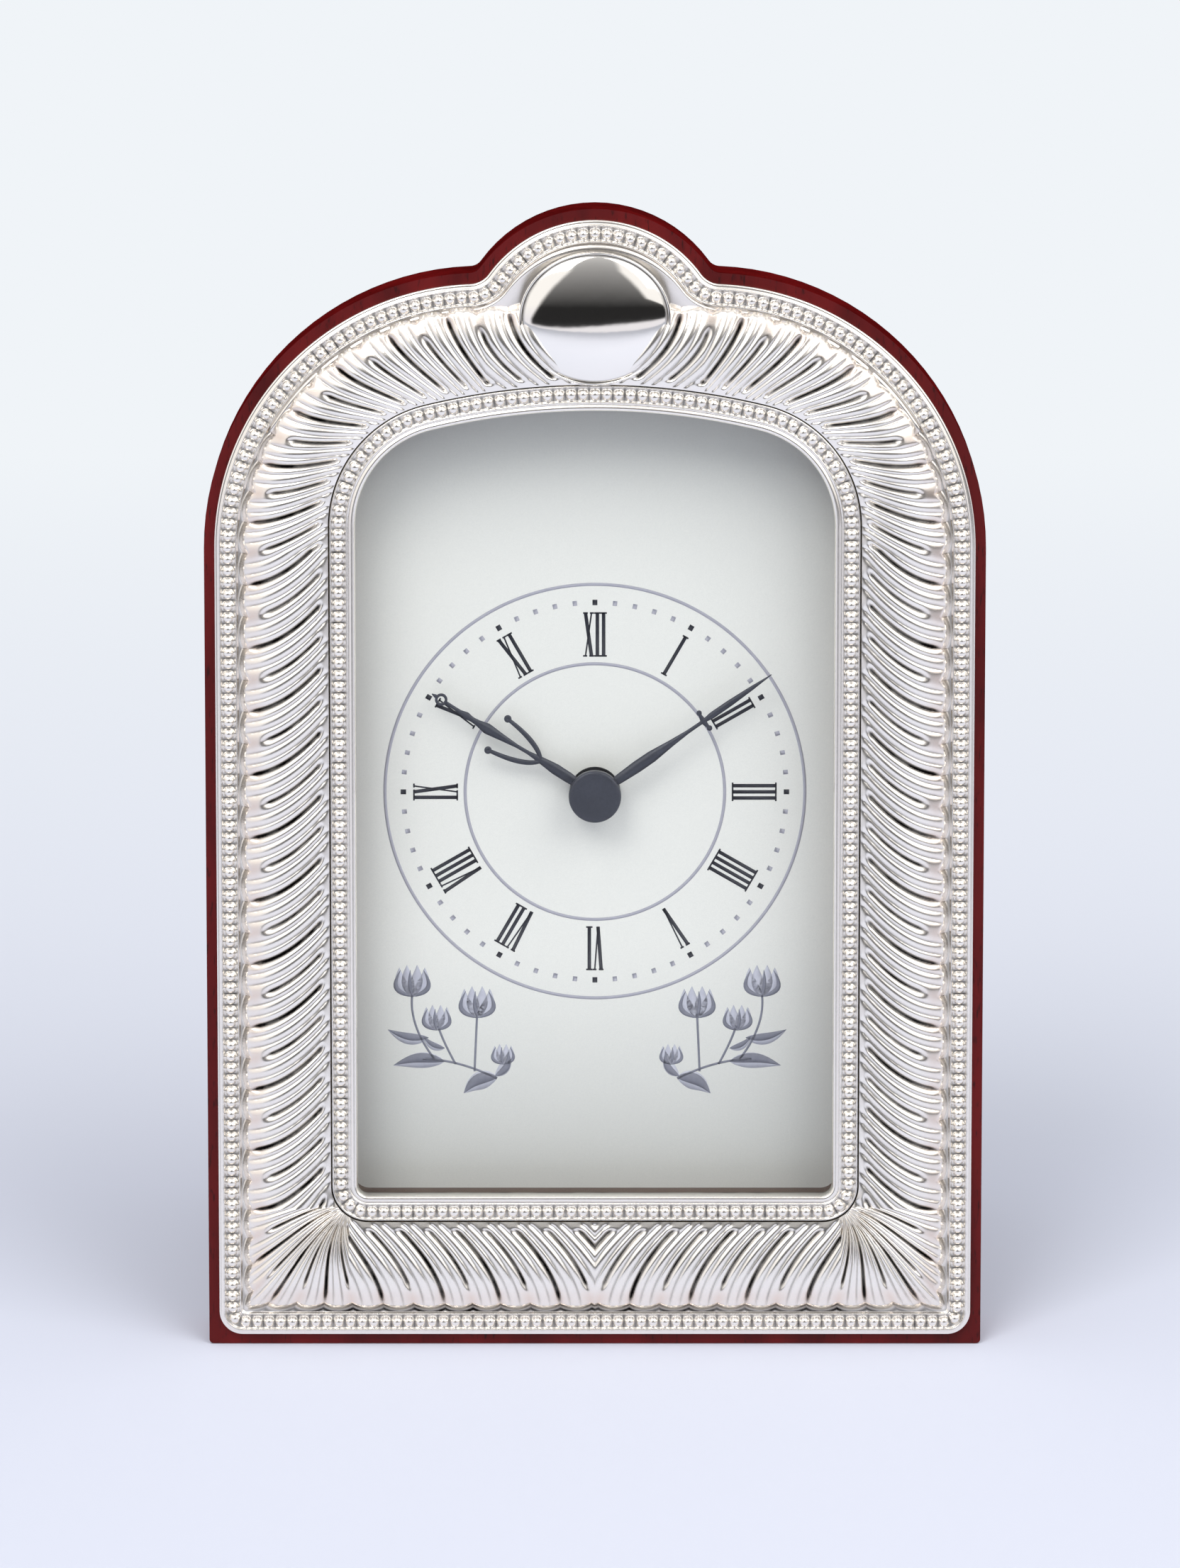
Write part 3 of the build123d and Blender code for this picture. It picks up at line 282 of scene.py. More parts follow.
@dataclass(frozen=True)
class LacqueredMahogany(Finish):
    """Mahogany stained dark red, lacquered and waxed.

    It shows pores and broad stripes, and the wax dulls its shine where it is seen at a glancing slant.
    """

    name: str = "mahogany_red_lacquered"
    dark: str = "#4a0a0b"
    light: str = "#6c1213"
    pore: str = "#1f0807"
    roughness: float = 0.42
    pore_mm: float = 0.4
    pore_stretch: float = 0.035
    stripe_mm: float = 7.143
    stripe_stretch: float = 0.12

    def surface(self, tree: bpy.types.NodeTree) -> Any:
        """Builds the finish's nodes.

        Args:
            tree: The material's node tree.

        Returns:
            The shader's socket.
        """
        place = put(tree, "NodeTexCoord").outputs["Object"]
        # the grain runs up the board: pores 0.4 mm wide and 11 mm long, stripes 7 mm wide and 60 mm long
        pore_run, stripe_run = (
            put(tree, "NodeMapping", {"Vector": place, "Scale": (1.0, 1.0, stretch)}).outputs[0]
            for stretch in (self.pore_stretch, self.stripe_stretch)
        )
        fine, broad = 1 / (self.pore_mm * MM), 1 / (self.stripe_mm * MM)
        pores = put(tree, "NodeTexNoise", {"Vector": pore_run, "Scale": fine, "Detail": 3.0})
        stripes = put(
            tree,
            "NodeTexNoise",
            {"Vector": stripe_run, "Scale": broad, "Detail": 5.0, "Distortion": 0.6},
        )
        tone = put(tree, "NodeMapRange", {0: stripes.outputs[0], 1: 0.3, 2: 0.7, 3: 0.0, 4: 1.0}).outputs[0]
        pore = put(tree, "NodeMapRange", {0: pores.outputs[0], 1: 0.58, 2: 0.72, 3: 0.0, 4: 0.75}).outputs[0]
        body = put(tree, "NodeMix", {0: tone, 6: self.dark, 7: self.light}, data_type="RGBA").outputs[2]
        stained = put(tree, "NodeMix", {0: pore, 6: body, 7: self.pore}, data_type="RGBA").outputs[2]
        bump = put(
            tree,
            "NodeBump",
            {"Strength": 0.25, "Distance": 0.03 * MM, "Height": pores.outputs[0]},
        )
        facing = put(tree, "NodeLayerWeight", {"Blend": 0.5}).outputs["Facing"]
        shine = put(tree, "NodeMapRange", {0: facing, 1: 0.15, 2: 0.6, 3: 0.22, 4: 0.0}).outputs[0]
        shader = put(
            tree,
            "NodeBsdfPrincipled",
            {
                "Base Color": stained,
                "Roughness": self.roughness,
                "Specular IOR Level": shine,
                "Normal": bump.outputs[0],
            },
        )
        return shader.outputs[0]


@dataclass(frozen=True)
class SilveredDial(Finish):
    """Brass dial silvered and matt lacquered: bright at its centre, greyer at its edges by its own tone and
    painted shade.
    """

    name: str = "dial_silvered_matt"
    centre: str = "#fcf9f1"
    # the edges' grey is partly the dial's own and partly painted shade from the recess
    edge: str = "#e2e0da"
    grit: str = "#8d8f90"
    grit_mm: float = 0.2
    shade_inner_mm: float = 24.0
    shade_outer_mm: float = 60.0
    # the painted shade's middle sits left of and above the dial's centre, which lightens the left edge
    middle: tuple[float, float] = (-8.0, 85.0)

    def surface(self, tree: bpy.types.NodeTree) -> Any:
        """Builds the finish's nodes.

        Args:
            tree: The material's node tree.

        Returns:
            The shader's socket.
        """
        middle = flat_to_room(np.array([*self.middle, DIAL_FACE]))
        place = put(tree, "NodeTexCoord").outputs["Object"]
        away = put(tree, "NodeVectorMath", {0: place, 1: tuple(middle)}, operation="SUBTRACT").outputs[0]
        wide = put(tree, "NodeVectorMath", {0: away, 1: (0.55, 1.0, 1.0)}, operation="MULTIPLY").outputs[0]
        reach = put(tree, "NodeVectorMath", {0: wide}, operation="LENGTH").outputs["Value"]
        # painted shade: the colour greys outwards from that middle, as the recess's walls shade the dial's
        # edges
        shade = put(
            tree,
            "NodeMapRange",
            {0: reach, 1: self.shade_inner_mm * MM, 2: self.shade_outer_mm * MM, 3: 0.0, 4: 1.0},
            interpolation_type="SMOOTHSTEP",
        ).outputs[0]
        # the lacquer's spray grit takes the shine off the silvering
        fine = 1 / (self.grit_mm * MM)
        grit = put(tree, "NodeTexNoise", {"Vector": place, "Scale": fine, "Detail": 2.0})
        fleck = put(tree, "NodeMapRange", {0: grit.outputs[0], 1: 0.3, 2: 0.7, 3: 0.0, 4: 0.07}).outputs[0]
        body = put(tree, "NodeMix", {0: shade, 6: self.centre, 7: self.edge}, data_type="RGBA").outputs[2]
        bump = put(tree, "NodeBump", {"Strength": 0.2, "Distance": 0.01 * MM, "Height": grit.outputs[0]})
        colour = put(tree, "NodeMix", {0: fleck, 6: body, 7: self.grit}, data_type="RGBA")
        shader = put(
            tree,
            "NodeBsdfPrincipled",
            {
                "Base Color": colour.outputs[2],
                "Metallic": 0.0,
                "Roughness": 0.5,
                "Normal": bump.outputs[0],
            },
        )
        return shader.outputs[0]


@dataclass(frozen=True)
class FlatGlass(Finish):
    """Float glass 2 mm thick: clear straight through, with a weak reflection that grows at a slant."""

    name: str = "float_glass_clear"
    tint: str = "#fcfdfd"

    def surface(self, tree: bpy.types.NodeTree) -> Any:
        """Builds the finish's nodes.

        Args:
            tree: The material's node tree.

        Returns:
            The shader's socket.
        """
        through = put(tree, "NodeBsdfTransparent", {"Color": self.tint}).outputs[0]
        shine = put(tree, "NodeBsdfGlossy", {"Color": "#ffffff", "Roughness": 0.02}).outputs[0]
        # the index is below glass's own 1.52, because the real pane hardly mirrors the room
        fresnel = put(tree, "NodeFresnel", {"IOR": 1.3}).outputs[0]
        behind = put(tree, "NodeNewGeometry").outputs["Backfacing"]
        front = put(tree, "NodeMath", {0: 1.0, 1: behind}, operation="SUBTRACT").outputs[0]
        share = put(tree, "NodeMath", {0: fresnel, 1: front}, operation="MULTIPLY").outputs[0]
        mixed = put(tree, "NodeMixShader", {0: share, 1: through, 2: shine})
        return mixed.outputs[0]


@dataclass(frozen=True)
class WrappedCell(Finish):
    """A dry cell: a glossy film with a pale band at one end, and bare plated steel at both ends."""

    name: str = "cell_film_and_steel"
    film: str = "#2b323c"
    band: str = "#aeb2b8"
    steel: str = "#b9babd"
    bare_mm: float = 1.6
    band_mm: float = 11.0
    scuff_mm: float = 1.11

    def surface(self, tree: bpy.types.NodeTree) -> Any:
        """Builds the finish's nodes, with the bare steel and the band at distances from the cell's ends.

        Args:
            tree: The material's node tree.

        Returns:
            The shader's socket.
        """
        low, high = (corner[0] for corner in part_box("battery"))
        place = put(tree, "NodeTexCoord").outputs["Object"]
        x = put(tree, "NodeSeparateXYZ", {0: place}).outputs[0]
        middle = put(tree, "NodeMath", {0: x, 1: (low + high) / 2}, operation="SUBTRACT").outputs[0]
        out_from = put(tree, "NodeMath", {0: middle}, operation="ABSOLUTE").outputs[0]
        film_end, band_end = (high - low) / 2 - self.bare_mm * MM, high - self.band_mm * MM
        bare = put(tree, "NodeMath", {0: out_from, 1: film_end}, operation="GREATER_THAN")
        banded = put(tree, "NodeMath", {0: x, 1: band_end}, operation="GREATER_THAN").outputs[0]
        fine = 1 / (self.scuff_mm * MM)
        scuff = put(tree, "NodeTexNoise", {"Vector": place, "Scale": fine, "Detail": 4.0}).outputs[0]
        gloss = put(tree, "NodeMapRange", {0: scuff, 1: 0.35, 2: 0.75, 3: 0.16, 4: 0.34}).outputs[0]
        film = put(tree, "NodeMix", {0: banded, 6: self.film, 7: self.band}, data_type="RGBA").outputs[2]
        colour = put(tree, "NodeMix", {0: bare.outputs[0], 6: film, 7: self.steel}, data_type="RGBA")
        shader = put(
            tree,
            "NodeBsdfPrincipled",
            {
                "Base Color": colour.outputs[2],
                "Metallic": bare.outputs[0],
                "Roughness": gloss,
            },
        )
        return shader.outputs[0]


# brushing spreads the highlights along the flutes, and burnishing makes the oval a mirror
SILVER = PressedSilver("silver_pressed_brushed", 0.24)
BURNISHED = PressedSilver("silver_burnished", 0.06)
MAHOGANY = LacqueredMahogany()
DIAL = SilveredDial()
GLASS = FlatGlass()
# pad-printed inks lie flat and matt, with the shades of one slate colour
INK = WorkedFinish("dial_print_black", "#2c2c33", "#3b3b44", 0.6, 0.5, 0.002)
LINE_INK = WorkedFinish("dial_print_lavender", "#b3b0bb", "#bdbac4", 0.6, 0.5, 0.002)
SPRAY_DARK = WorkedFinish("dial_print_slate", "#7f7f8b", "#92929e", 0.6, 0.8, 0.002)
SPRAY_PALE = WorkedFinish("dial_print_lilac", "#c6c5d1", "#d8d7e1", 0.6, 0.8, 0.002)
# thin paint on stamped steel keeps a little of the metal's sheen
SLATE = WorkedFinish("steel_hand_slate_paint", "#41424b", "#4b4c56", 0.42, 0.4, 0.004, metallic=0.2)
# cut card, cast resin and moulded rubber are dull, and mottled by their fibre or filler
# the card's dark brown is painted shade: it stands for the shadow line at the window's foot
SHADED_CARD = WorkedFinish("card_spacer_painted_shade", "#5f4e45", "#6b5a50", 0.75, 0.6, 0.02)
RESIN = WorkedFinish("resin_cast", "#b9a98c", "#a8977a", 0.5, 1.5, 0.03)
RUBBER = WorkedFinish("rubber_moulded", "#17171a", "#202024", 0.75, 0.4, 0.02)
# rolled brass shows lines across its width, and nickel plate is bright and even
BRASS = WorkedFinish(
    "brass_rolled", "#c8a35a", "#ab8442", 0.28, 0.5, 0.006, metallic=1.0, grain=Grain.ALONG_X
)
STEEL = WorkedFinish("steel_nickel_plated", "#b9babd", "#a3a4a8", 0.25, 0.4, 0.005, metallic=1.0)
# a spark-eroded mould leaves fine matt grain, and acetal comes out waxy and smooth
CASE = WorkedFinish("abs_black_spark_textured", "#141416", "#1d1d20", 0.6, 0.35, 0.03)
ACETAL = WorkedFinish("acetal_moulded_natural", "#e9e4d6", "#dcd6c6", 0.38, 0.8, 0.006)
# enamelled wire glints turn by turn, glass-fibre board is glossy green, and ground ferrite is dull grey
WINDING = WorkedFinish(
    "copper_wire_enamelled", "#a8552c", "#7c3a1c", 0.3, 0.25, 0.05, metallic=0.8, grain=Grain.ALONG_X
)
CIRCUIT = WorkedFinish("glass_fibre_board_green", "#15492c", "#1d5a38", 0.4, 0.6, 0.01)
MAGNET = WorkedFinish("ferrite_ground", "#2a2a2d", "#38383b", 0.5, 0.3, 0.01, metallic=0.3)
WRAP = WrappedCell()


@dataclass(frozen=True)
class Arch:
    """A round-topped outline: level foot, straight sides, two corner arcs and a shallow crown.

    Its right half has five runs: half the foot, the foot arc, the side, the corner arc and half the crown.
    A place on it is a run's number plus the share of that run.
    """

    half: float
    foot: float
    foot_radius: float
    corner_radius: float
    corner_height: float
    crown_radius: float

    def grown(self, amount: float) -> "Arch":
        """The outline at an even distance outside this one."""
        return Arch(
            self.half + amount,
            self.foot - amount,
            self.foot_radius + amount,
            self.corner_radius + amount,
            self.corner_height,
            self.crown_radius + amount,
        )

    def crown(self) -> tuple[float, float]:
        """Finds the crown arc, which runs smoothly into the corner arc.

        Returns:
            Its centre's height, and the angle in radians where the two arcs meet.
        """
        across = self.half - self.corner_radius
        drop = math.sqrt((self.crown_radius - self.corner_radius) ** 2 - across**2)
        return self.corner_height - drop, math.atan2(drop, across)

    def runs(self) -> np.ndarray:
        """Measures the outline's right half.

        Returns:
            The lengths of the five runs in millimetres.
        """
        meet = self.crown()[1]
        return np.array(
            [
                self.half - self.foot_radius,
                self.foot_radius * math.pi / 2,
                self.corner_height - self.foot - self.foot_radius,
                self.corner_radius * meet,
                self.crown_radius * (math.pi / 2 - meet),
            ]
        )

    def at(self, place: np.ndarray) -> np.ndarray:
        """Points at places from 0, the middle of the foot, to 5, the middle of the crown.

        Args:
            place: Run numbers plus shares.

        Returns:
            Points (x, y) in millimetres, one more axis than the places have.
        """
        run = np.clip(place.astype(int), 0, 4)
        share = place - run
        centre, meet = self.crown()
        low = self.foot + self.foot_radius
        level = self.half - self.foot_radius
        foot_turn = (share - 1) * math.pi / 2
        corner_turn = share * meet
        crown_turn = meet + share * (math.pi / 2 - meet)
        across = self.half - self.corner_radius
        x = np.choose(
            run,
            [
                share * level,
                level + self.foot_radius * np.cos(foot_turn),
                np.full_like(share, self.half),
                across + self.corner_radius * np.cos(corner_turn),
                self.crown_radius * np.cos(crown_turn),
            ],
        )
        y = np.choose(
            run,
            [
                np.full_like(share, self.foot),
                low + self.foot_radius * np.sin(foot_turn),
                low + share * (self.corner_height - low),
                self.corner_height + self.corner_radius * np.sin(corner_turn),
                centre + self.crown_radius * np.sin(crown_turn),
            ],
        )
        return np.stack((x, y), axis=-1)

    def hit(self, start: np.ndarray, ray: np.ndarray) -> np.ndarray:
        """Where rays from inside the right half leave the outline.

        The outline is the boundary that all its parts share: two straight lines and three arcs. A ray
        leaves through a line or an arc only where the hit lies on that part, and the nearest such hit
        counts. A ray meets a circle at d = -b + sqrt(b^2 - c), with b = (p - k).u and
        c = |p - k|^2 - r^2, for start p, direction u and centre k.

        Args:
            start: Points (n, 2).
            ray: Unit directions (n, 2).

        Returns:
            Points (n, 2) on the outline.
        """
        rise, meet = self.crown()
        across, level = self.half - self.corner_radius, self.half - self.foot_radius
        low = self.foot + self.foot_radius
        toe = 1e-6
        right = (self.half - start[:, 0]) / np.maximum(ray[:, 0], 1e-9)
        down = (start[:, 1] - self.foot) / np.maximum(-ray[:, 1], 1e-9)
        at_right, at_down = start[:, 1] + right * ray[:, 1], start[:, 0] + down * ray[:, 0]
        hits = [
            np.where((at_right >= low - toe) & (at_right <= self.corner_height + toe), right, np.inf),
            np.where(at_down <= level + toe, down, np.inf),
        ]
        for centre, radius, first, last in (
            ((level, low), self.foot_radius, -math.pi / 2, 0.0),
            ((across, self.corner_height), self.corner_radius, 0.0, meet),
            ((0.0, rise), self.crown_radius, meet, math.pi / 2),
        ):
            gap = start - np.array(centre)
            b = (gap * ray).sum(axis=1)
            square = b**2 - (gap**2).sum(axis=1) + radius**2
            reach = np.sqrt(np.maximum(square, 0.0)) - b
            spot = gap + reach[:, None] * ray
            angle = np.arctan2(spot[:, 1], spot[:, 0])
            on_arc = (square >= 0) & (angle >= first - toe) & (angle <= last + toe)
            hits.append(np.where(on_arc, reach, np.inf))
        nearest = np.min(np.stack(hits), axis=0)
        return start + nearest[:, None] * ray


@dataclass(frozen=True)
class HumpedOutline:
    """The board's outline: straight sides, corner arcs, a small notch arc and the hump's arc.

    Its right half has six runs: half the foot, the foot arc, the side, the corner arc, the notch arc and
    half the hump. An inset keeps every arc's centre, and takes its distance from the radius.
    """

    half: float = 57.0
    corner_radius: float = 40.4
    corner_height: float = 118.8
    hump_radius: float = 20.5
    hump_height: float = 148.0
    notch_radius: float = 2.0
    foot_radius: float = 5.0

    def arcs(self) -> tuple[np.ndarray, float, float]:
        """Finds the notch arc, which touches both the corner arc and the hump arc.

        Its centre lies where two circles cross, each wider than its arc by the notch radius.

        Returns:
            Its centre, and the angles at which the corner arc and the hump arc meet it.
        """
        corner = np.array([self.half - self.corner_radius, self.corner_height])
        hump = np.array([0.0, self.hump_height])
        first, second = self.corner_radius + self.notch_radius, self.hump_radius + self.notch_radius
        apart = math.dist(corner, hump)
        along = (first**2 - second**2 + apart**2) / (2 * apart)
        turn = math.atan2(hump[1] - corner[1], hump[0] - corner[0]) - math.acos(along / first)
        notch = corner + first * np.array([math.cos(turn), math.sin(turn)])
        return notch, turn, math.atan2(notch[1] - hump[1], notch[0] - hump[0])

    def runs(self, inset: float) -> np.ndarray:
        """Measures the right half at an inset.

        Args:
            inset: The distance inside the board's edge.

        Returns:
            The lengths of the six runs in millimetres.
        """
        _, first, second = self.arcs()
        foot_radius = max(self.foot_radius - inset, 0.6)
        return np.array(
            [
                self.half - inset - foot_radius,
                foot_radius * math.pi / 2,
                self.corner_height - inset - foot_radius,
                (self.corner_radius - inset) * first,
                (self.notch_radius + inset) * (first - second),
                (self.hump_radius - inset) * (math.pi / 2 - second),
            ]
        )

    def at(self, place: np.ndarray, inset: np.ndarray) -> np.ndarray:
        """Points at places from 0, the middle of the foot, to 6, the top of the hump.

        Args:
            place: Run numbers plus shares.
            inset: Distances inside the board's edge, of a shape that goes with the places.

        Returns:
            Points (x, y) in millimetres.
        """
        place, inset = np.broadcast_arrays(place, inset)
        run = np.clip(place.astype(int), 0, 5)
        share = place - run
        notch, first, second = self.arcs()
        foot_radius = np.maximum(self.foot_radius - inset, 0.6)
        half = self.half - inset
        level, low = half - foot_radius, inset + foot_radius
        foot_turn = (share - 1) * math.pi / 2
        corner_turn = share * first
        notch_turn = first + math.pi + share * (second - first)
        hump_turn = second + share * (math.pi / 2 - second)
        dip = self.notch_radius + inset
        across = self.half - self.corner_radius
        x = np.choose(
            run,
            [
                share * level,
                level + foot_radius * np.cos(foot_turn),
                half,
                across + (self.corner_radius - inset) * np.cos(corner_turn),
                notch[0] + dip * np.cos(notch_turn),
                (self.hump_radius - inset) * np.cos(hump_turn),
            ],
        )
        y = np.choose(
            run,
            [
                inset,
                low + foot_radius * np.sin(foot_turn),
                low + share * (self.corner_height - low),
                self.corner_height + (self.corner_radius - inset) * np.sin(corner_turn),
                notch[1] + dip * np.sin(notch_turn),
                self.hump_height + (self.hump_radius - inset) * np.sin(hump_turn),
            ],
        )
        return np.stack((x, y), axis=-1)


def even_places(runs: np.ndarray, step: float) -> tuple[np.ndarray, np.ndarray]:
    """Spreads places evenly over the runs of an outline's right half.

    Args:
        runs: The lengths of the runs.
        step: The wanted distance between places.

    Returns:
        The places, and the distance of each from the middle of the foot.
    """
    counts = np.maximum(np.ceil(runs / step).astype(int), 2)
    shares = [number + np.arange(count) / count for number, count in enumerate(counts)]
    starts = np.concatenate(([0.0], np.cumsum(runs)))
    ways = [starts[n] + runs[n] * (s - n) for n, s in enumerate(shares)]
    end = len(runs) - 1e-9
    return np.append(np.concatenate(shares), end), np.append(np.concatenate(ways), starts[-1])


def smooth_step(value: np.ndarray) -> np.ndarray:
    """Rises from 0 to 1 with level ends as the value goes from 0 to 1: 3 v squared - 2 v cubed."""
    v = np.clip(value, 0.0, 1.0)
    return v * v * (3 - 2 * v)


def dress(piece: bpy.types.Object, finish: Any, body: str, slot: str, *nodes: str) -> bpy.types.Object:
    """Gives a new piece its finish and its body, and hides the nodes that it stands for.

    Args:
        piece: The piece.
        finish: Its finish.
        body: The body that it moves with.
        slot: The slot of its colour; not used.
        *nodes: The CAD nodes that it replaces.

    Returns:
        The same piece.
    """
    piece.data.materials.clear()
    piece.data.materials.append(finish.material())
    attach(piece, body)
    if nodes:
        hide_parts(*nodes)
    return piece


def make_mesh(
    name: str,
    points: np.ndarray,
    quads: np.ndarray,
    marks: Optional[dict[str, np.ndarray]] = None,
    smooth: bool = True,
) -> bpy.types.Object:
    """Puts points and quads into a new object at the origin.

    Args:
        name: The object's name.
        points: Points (n, 3) in metres.
        quads: Point numbers (m, 4), anticlockwise from outside.
        marks: Attribute name to one number for each point.
        smooth: Whether the faces are shaded smooth.

    Returns:
        The new object.
    """
    mesh = bpy.data.meshes.new(name)
    mesh.vertices.add(len(points))
    mesh.vertices.foreach_set("co", points.astype(np.float32).ravel())
    mesh.loops.add(quads.size)
    mesh.loops.foreach_set("vertex_index", quads.astype(np.int32).ravel())
    mesh.polygons.add(len(quads))
    mesh.polygons.foreach_set("loop_start", np.arange(0, quads.size, 4, dtype=np.int32))
    mesh.update(calc_edges=True)
    for title, values in (marks or {}).items():
        attribute = mesh.attributes.new(title, "FLOAT", "POINT")
        attribute.data.foreach_set("value", values.astype(np.float32).ravel())
    if smooth:
        mesh.shade_smooth()
    mesh.validate()
    piece = bpy.data.objects.new(name, mesh)
    bpy.context.scene.collection.objects.link(piece)
    return piece


def grid_quads(rows: int, columns: int, loop_rows: bool = False, loop_columns: bool = False) -> np.ndarray:
    """Numbers the corners of a grid's quads.

    Args:
        rows: The grid's rows.
        columns: The grid's columns.
        loop_rows: Whether the last row joins the first.
        loop_columns: Whether the last column joins the first.

    Returns:
        Point numbers (m, 4), with the points counted row by row.
    """
    r = np.arange(rows if loop_rows else rows - 1)
    c = np.arange(columns if loop_columns else columns - 1)
    r, c = np.meshgrid(r, c, indexing="ij")
    up, right = (r + 1) % rows, (c + 1) % columns
    quads = np.stack((r * columns + c, r * columns + right, up * columns + right, up * columns + c), axis=-1)
    return quads.reshape(-1, 4)


def sheet_piece(
    name: str,
    flat: np.ndarray,
    marks: Optional[dict[str, np.ndarray]] = None,
    loop_rows: bool = False,
    loop_columns: bool = False,
) -> bpy.types.Object:
    """Makes a piece from a grid of flat-frame points, with its faces towards the viewer.

    Args:
        name: The object's name.
        flat: Grid (rows, columns, 3) in millimetres.
        marks: Attribute name to one number for each grid point.
        loop_rows: Whether the last row joins the first.
        loop_columns: Whether the last column joins the first.

    Returns:
        The new object.
    """
    rows, columns = flat.shape[:2]
    quads = grid_quads(rows, columns, loop_rows, loop_columns)
    corners = flat.reshape(-1, 3)[quads]
    one, two = corners[:, 2] - corners[:, 0], corners[:, 3] - corners[:, 1]
    if np.cross(one, two)[:, 2].sum() < 0:
        quads = quads[:, ::-1]
    return make_mesh(name, flat_to_room(flat).reshape(-1, 3), quads, marks)


def both_halves(right: np.ndarray, marks: dict[str, np.ndarray]) -> tuple[np.ndarray, dict[str, np.ndarray]]:
    """Joins a right half that starts and ends on the middle line to its mirror image.

    Args:
        right: The right half's grid (rows, columns, 3), whose rows run from foot to crown.
        marks: Attribute name to one number for each grid point.

    Returns:
        The closed ring's grid and marks.
    """
    left = right[-2:0:-1] * np.array([-1.0, 1.0, 1.0])
    ring = np.concatenate((right, left))
    return ring, {name: np.concatenate((m, m[-2:0:-1])) for name, m in marks.items()}


class Run(Enum):
    """Where a groove runs: the share where it starts, how far it takes to deepen, and its end and rise."""

    LONG = (0.08, 0.16, 0.94, 0.06)
    SHORT = (0.24, 0.14, 0.94, 0.06)
    FINE = (0.02, 0.2, 0.995, 0.05)

    def depth_share(self, share: np.ndarray) -> np.ndarray:
        """How much of its full depth a groove has at shares from the outer edge."""
        start, deepen, end, rise = self.value
        return smooth_step((share - start) / deepen) * smooth_step((end - share) / rise)


@dataclass(frozen=True)
class Groove:
    """One groove of a flute: its place in the period, depth and width in mm, tarnish and run."""

    phase: float
    depth: float
    width: float
    dark: float
    run: Run


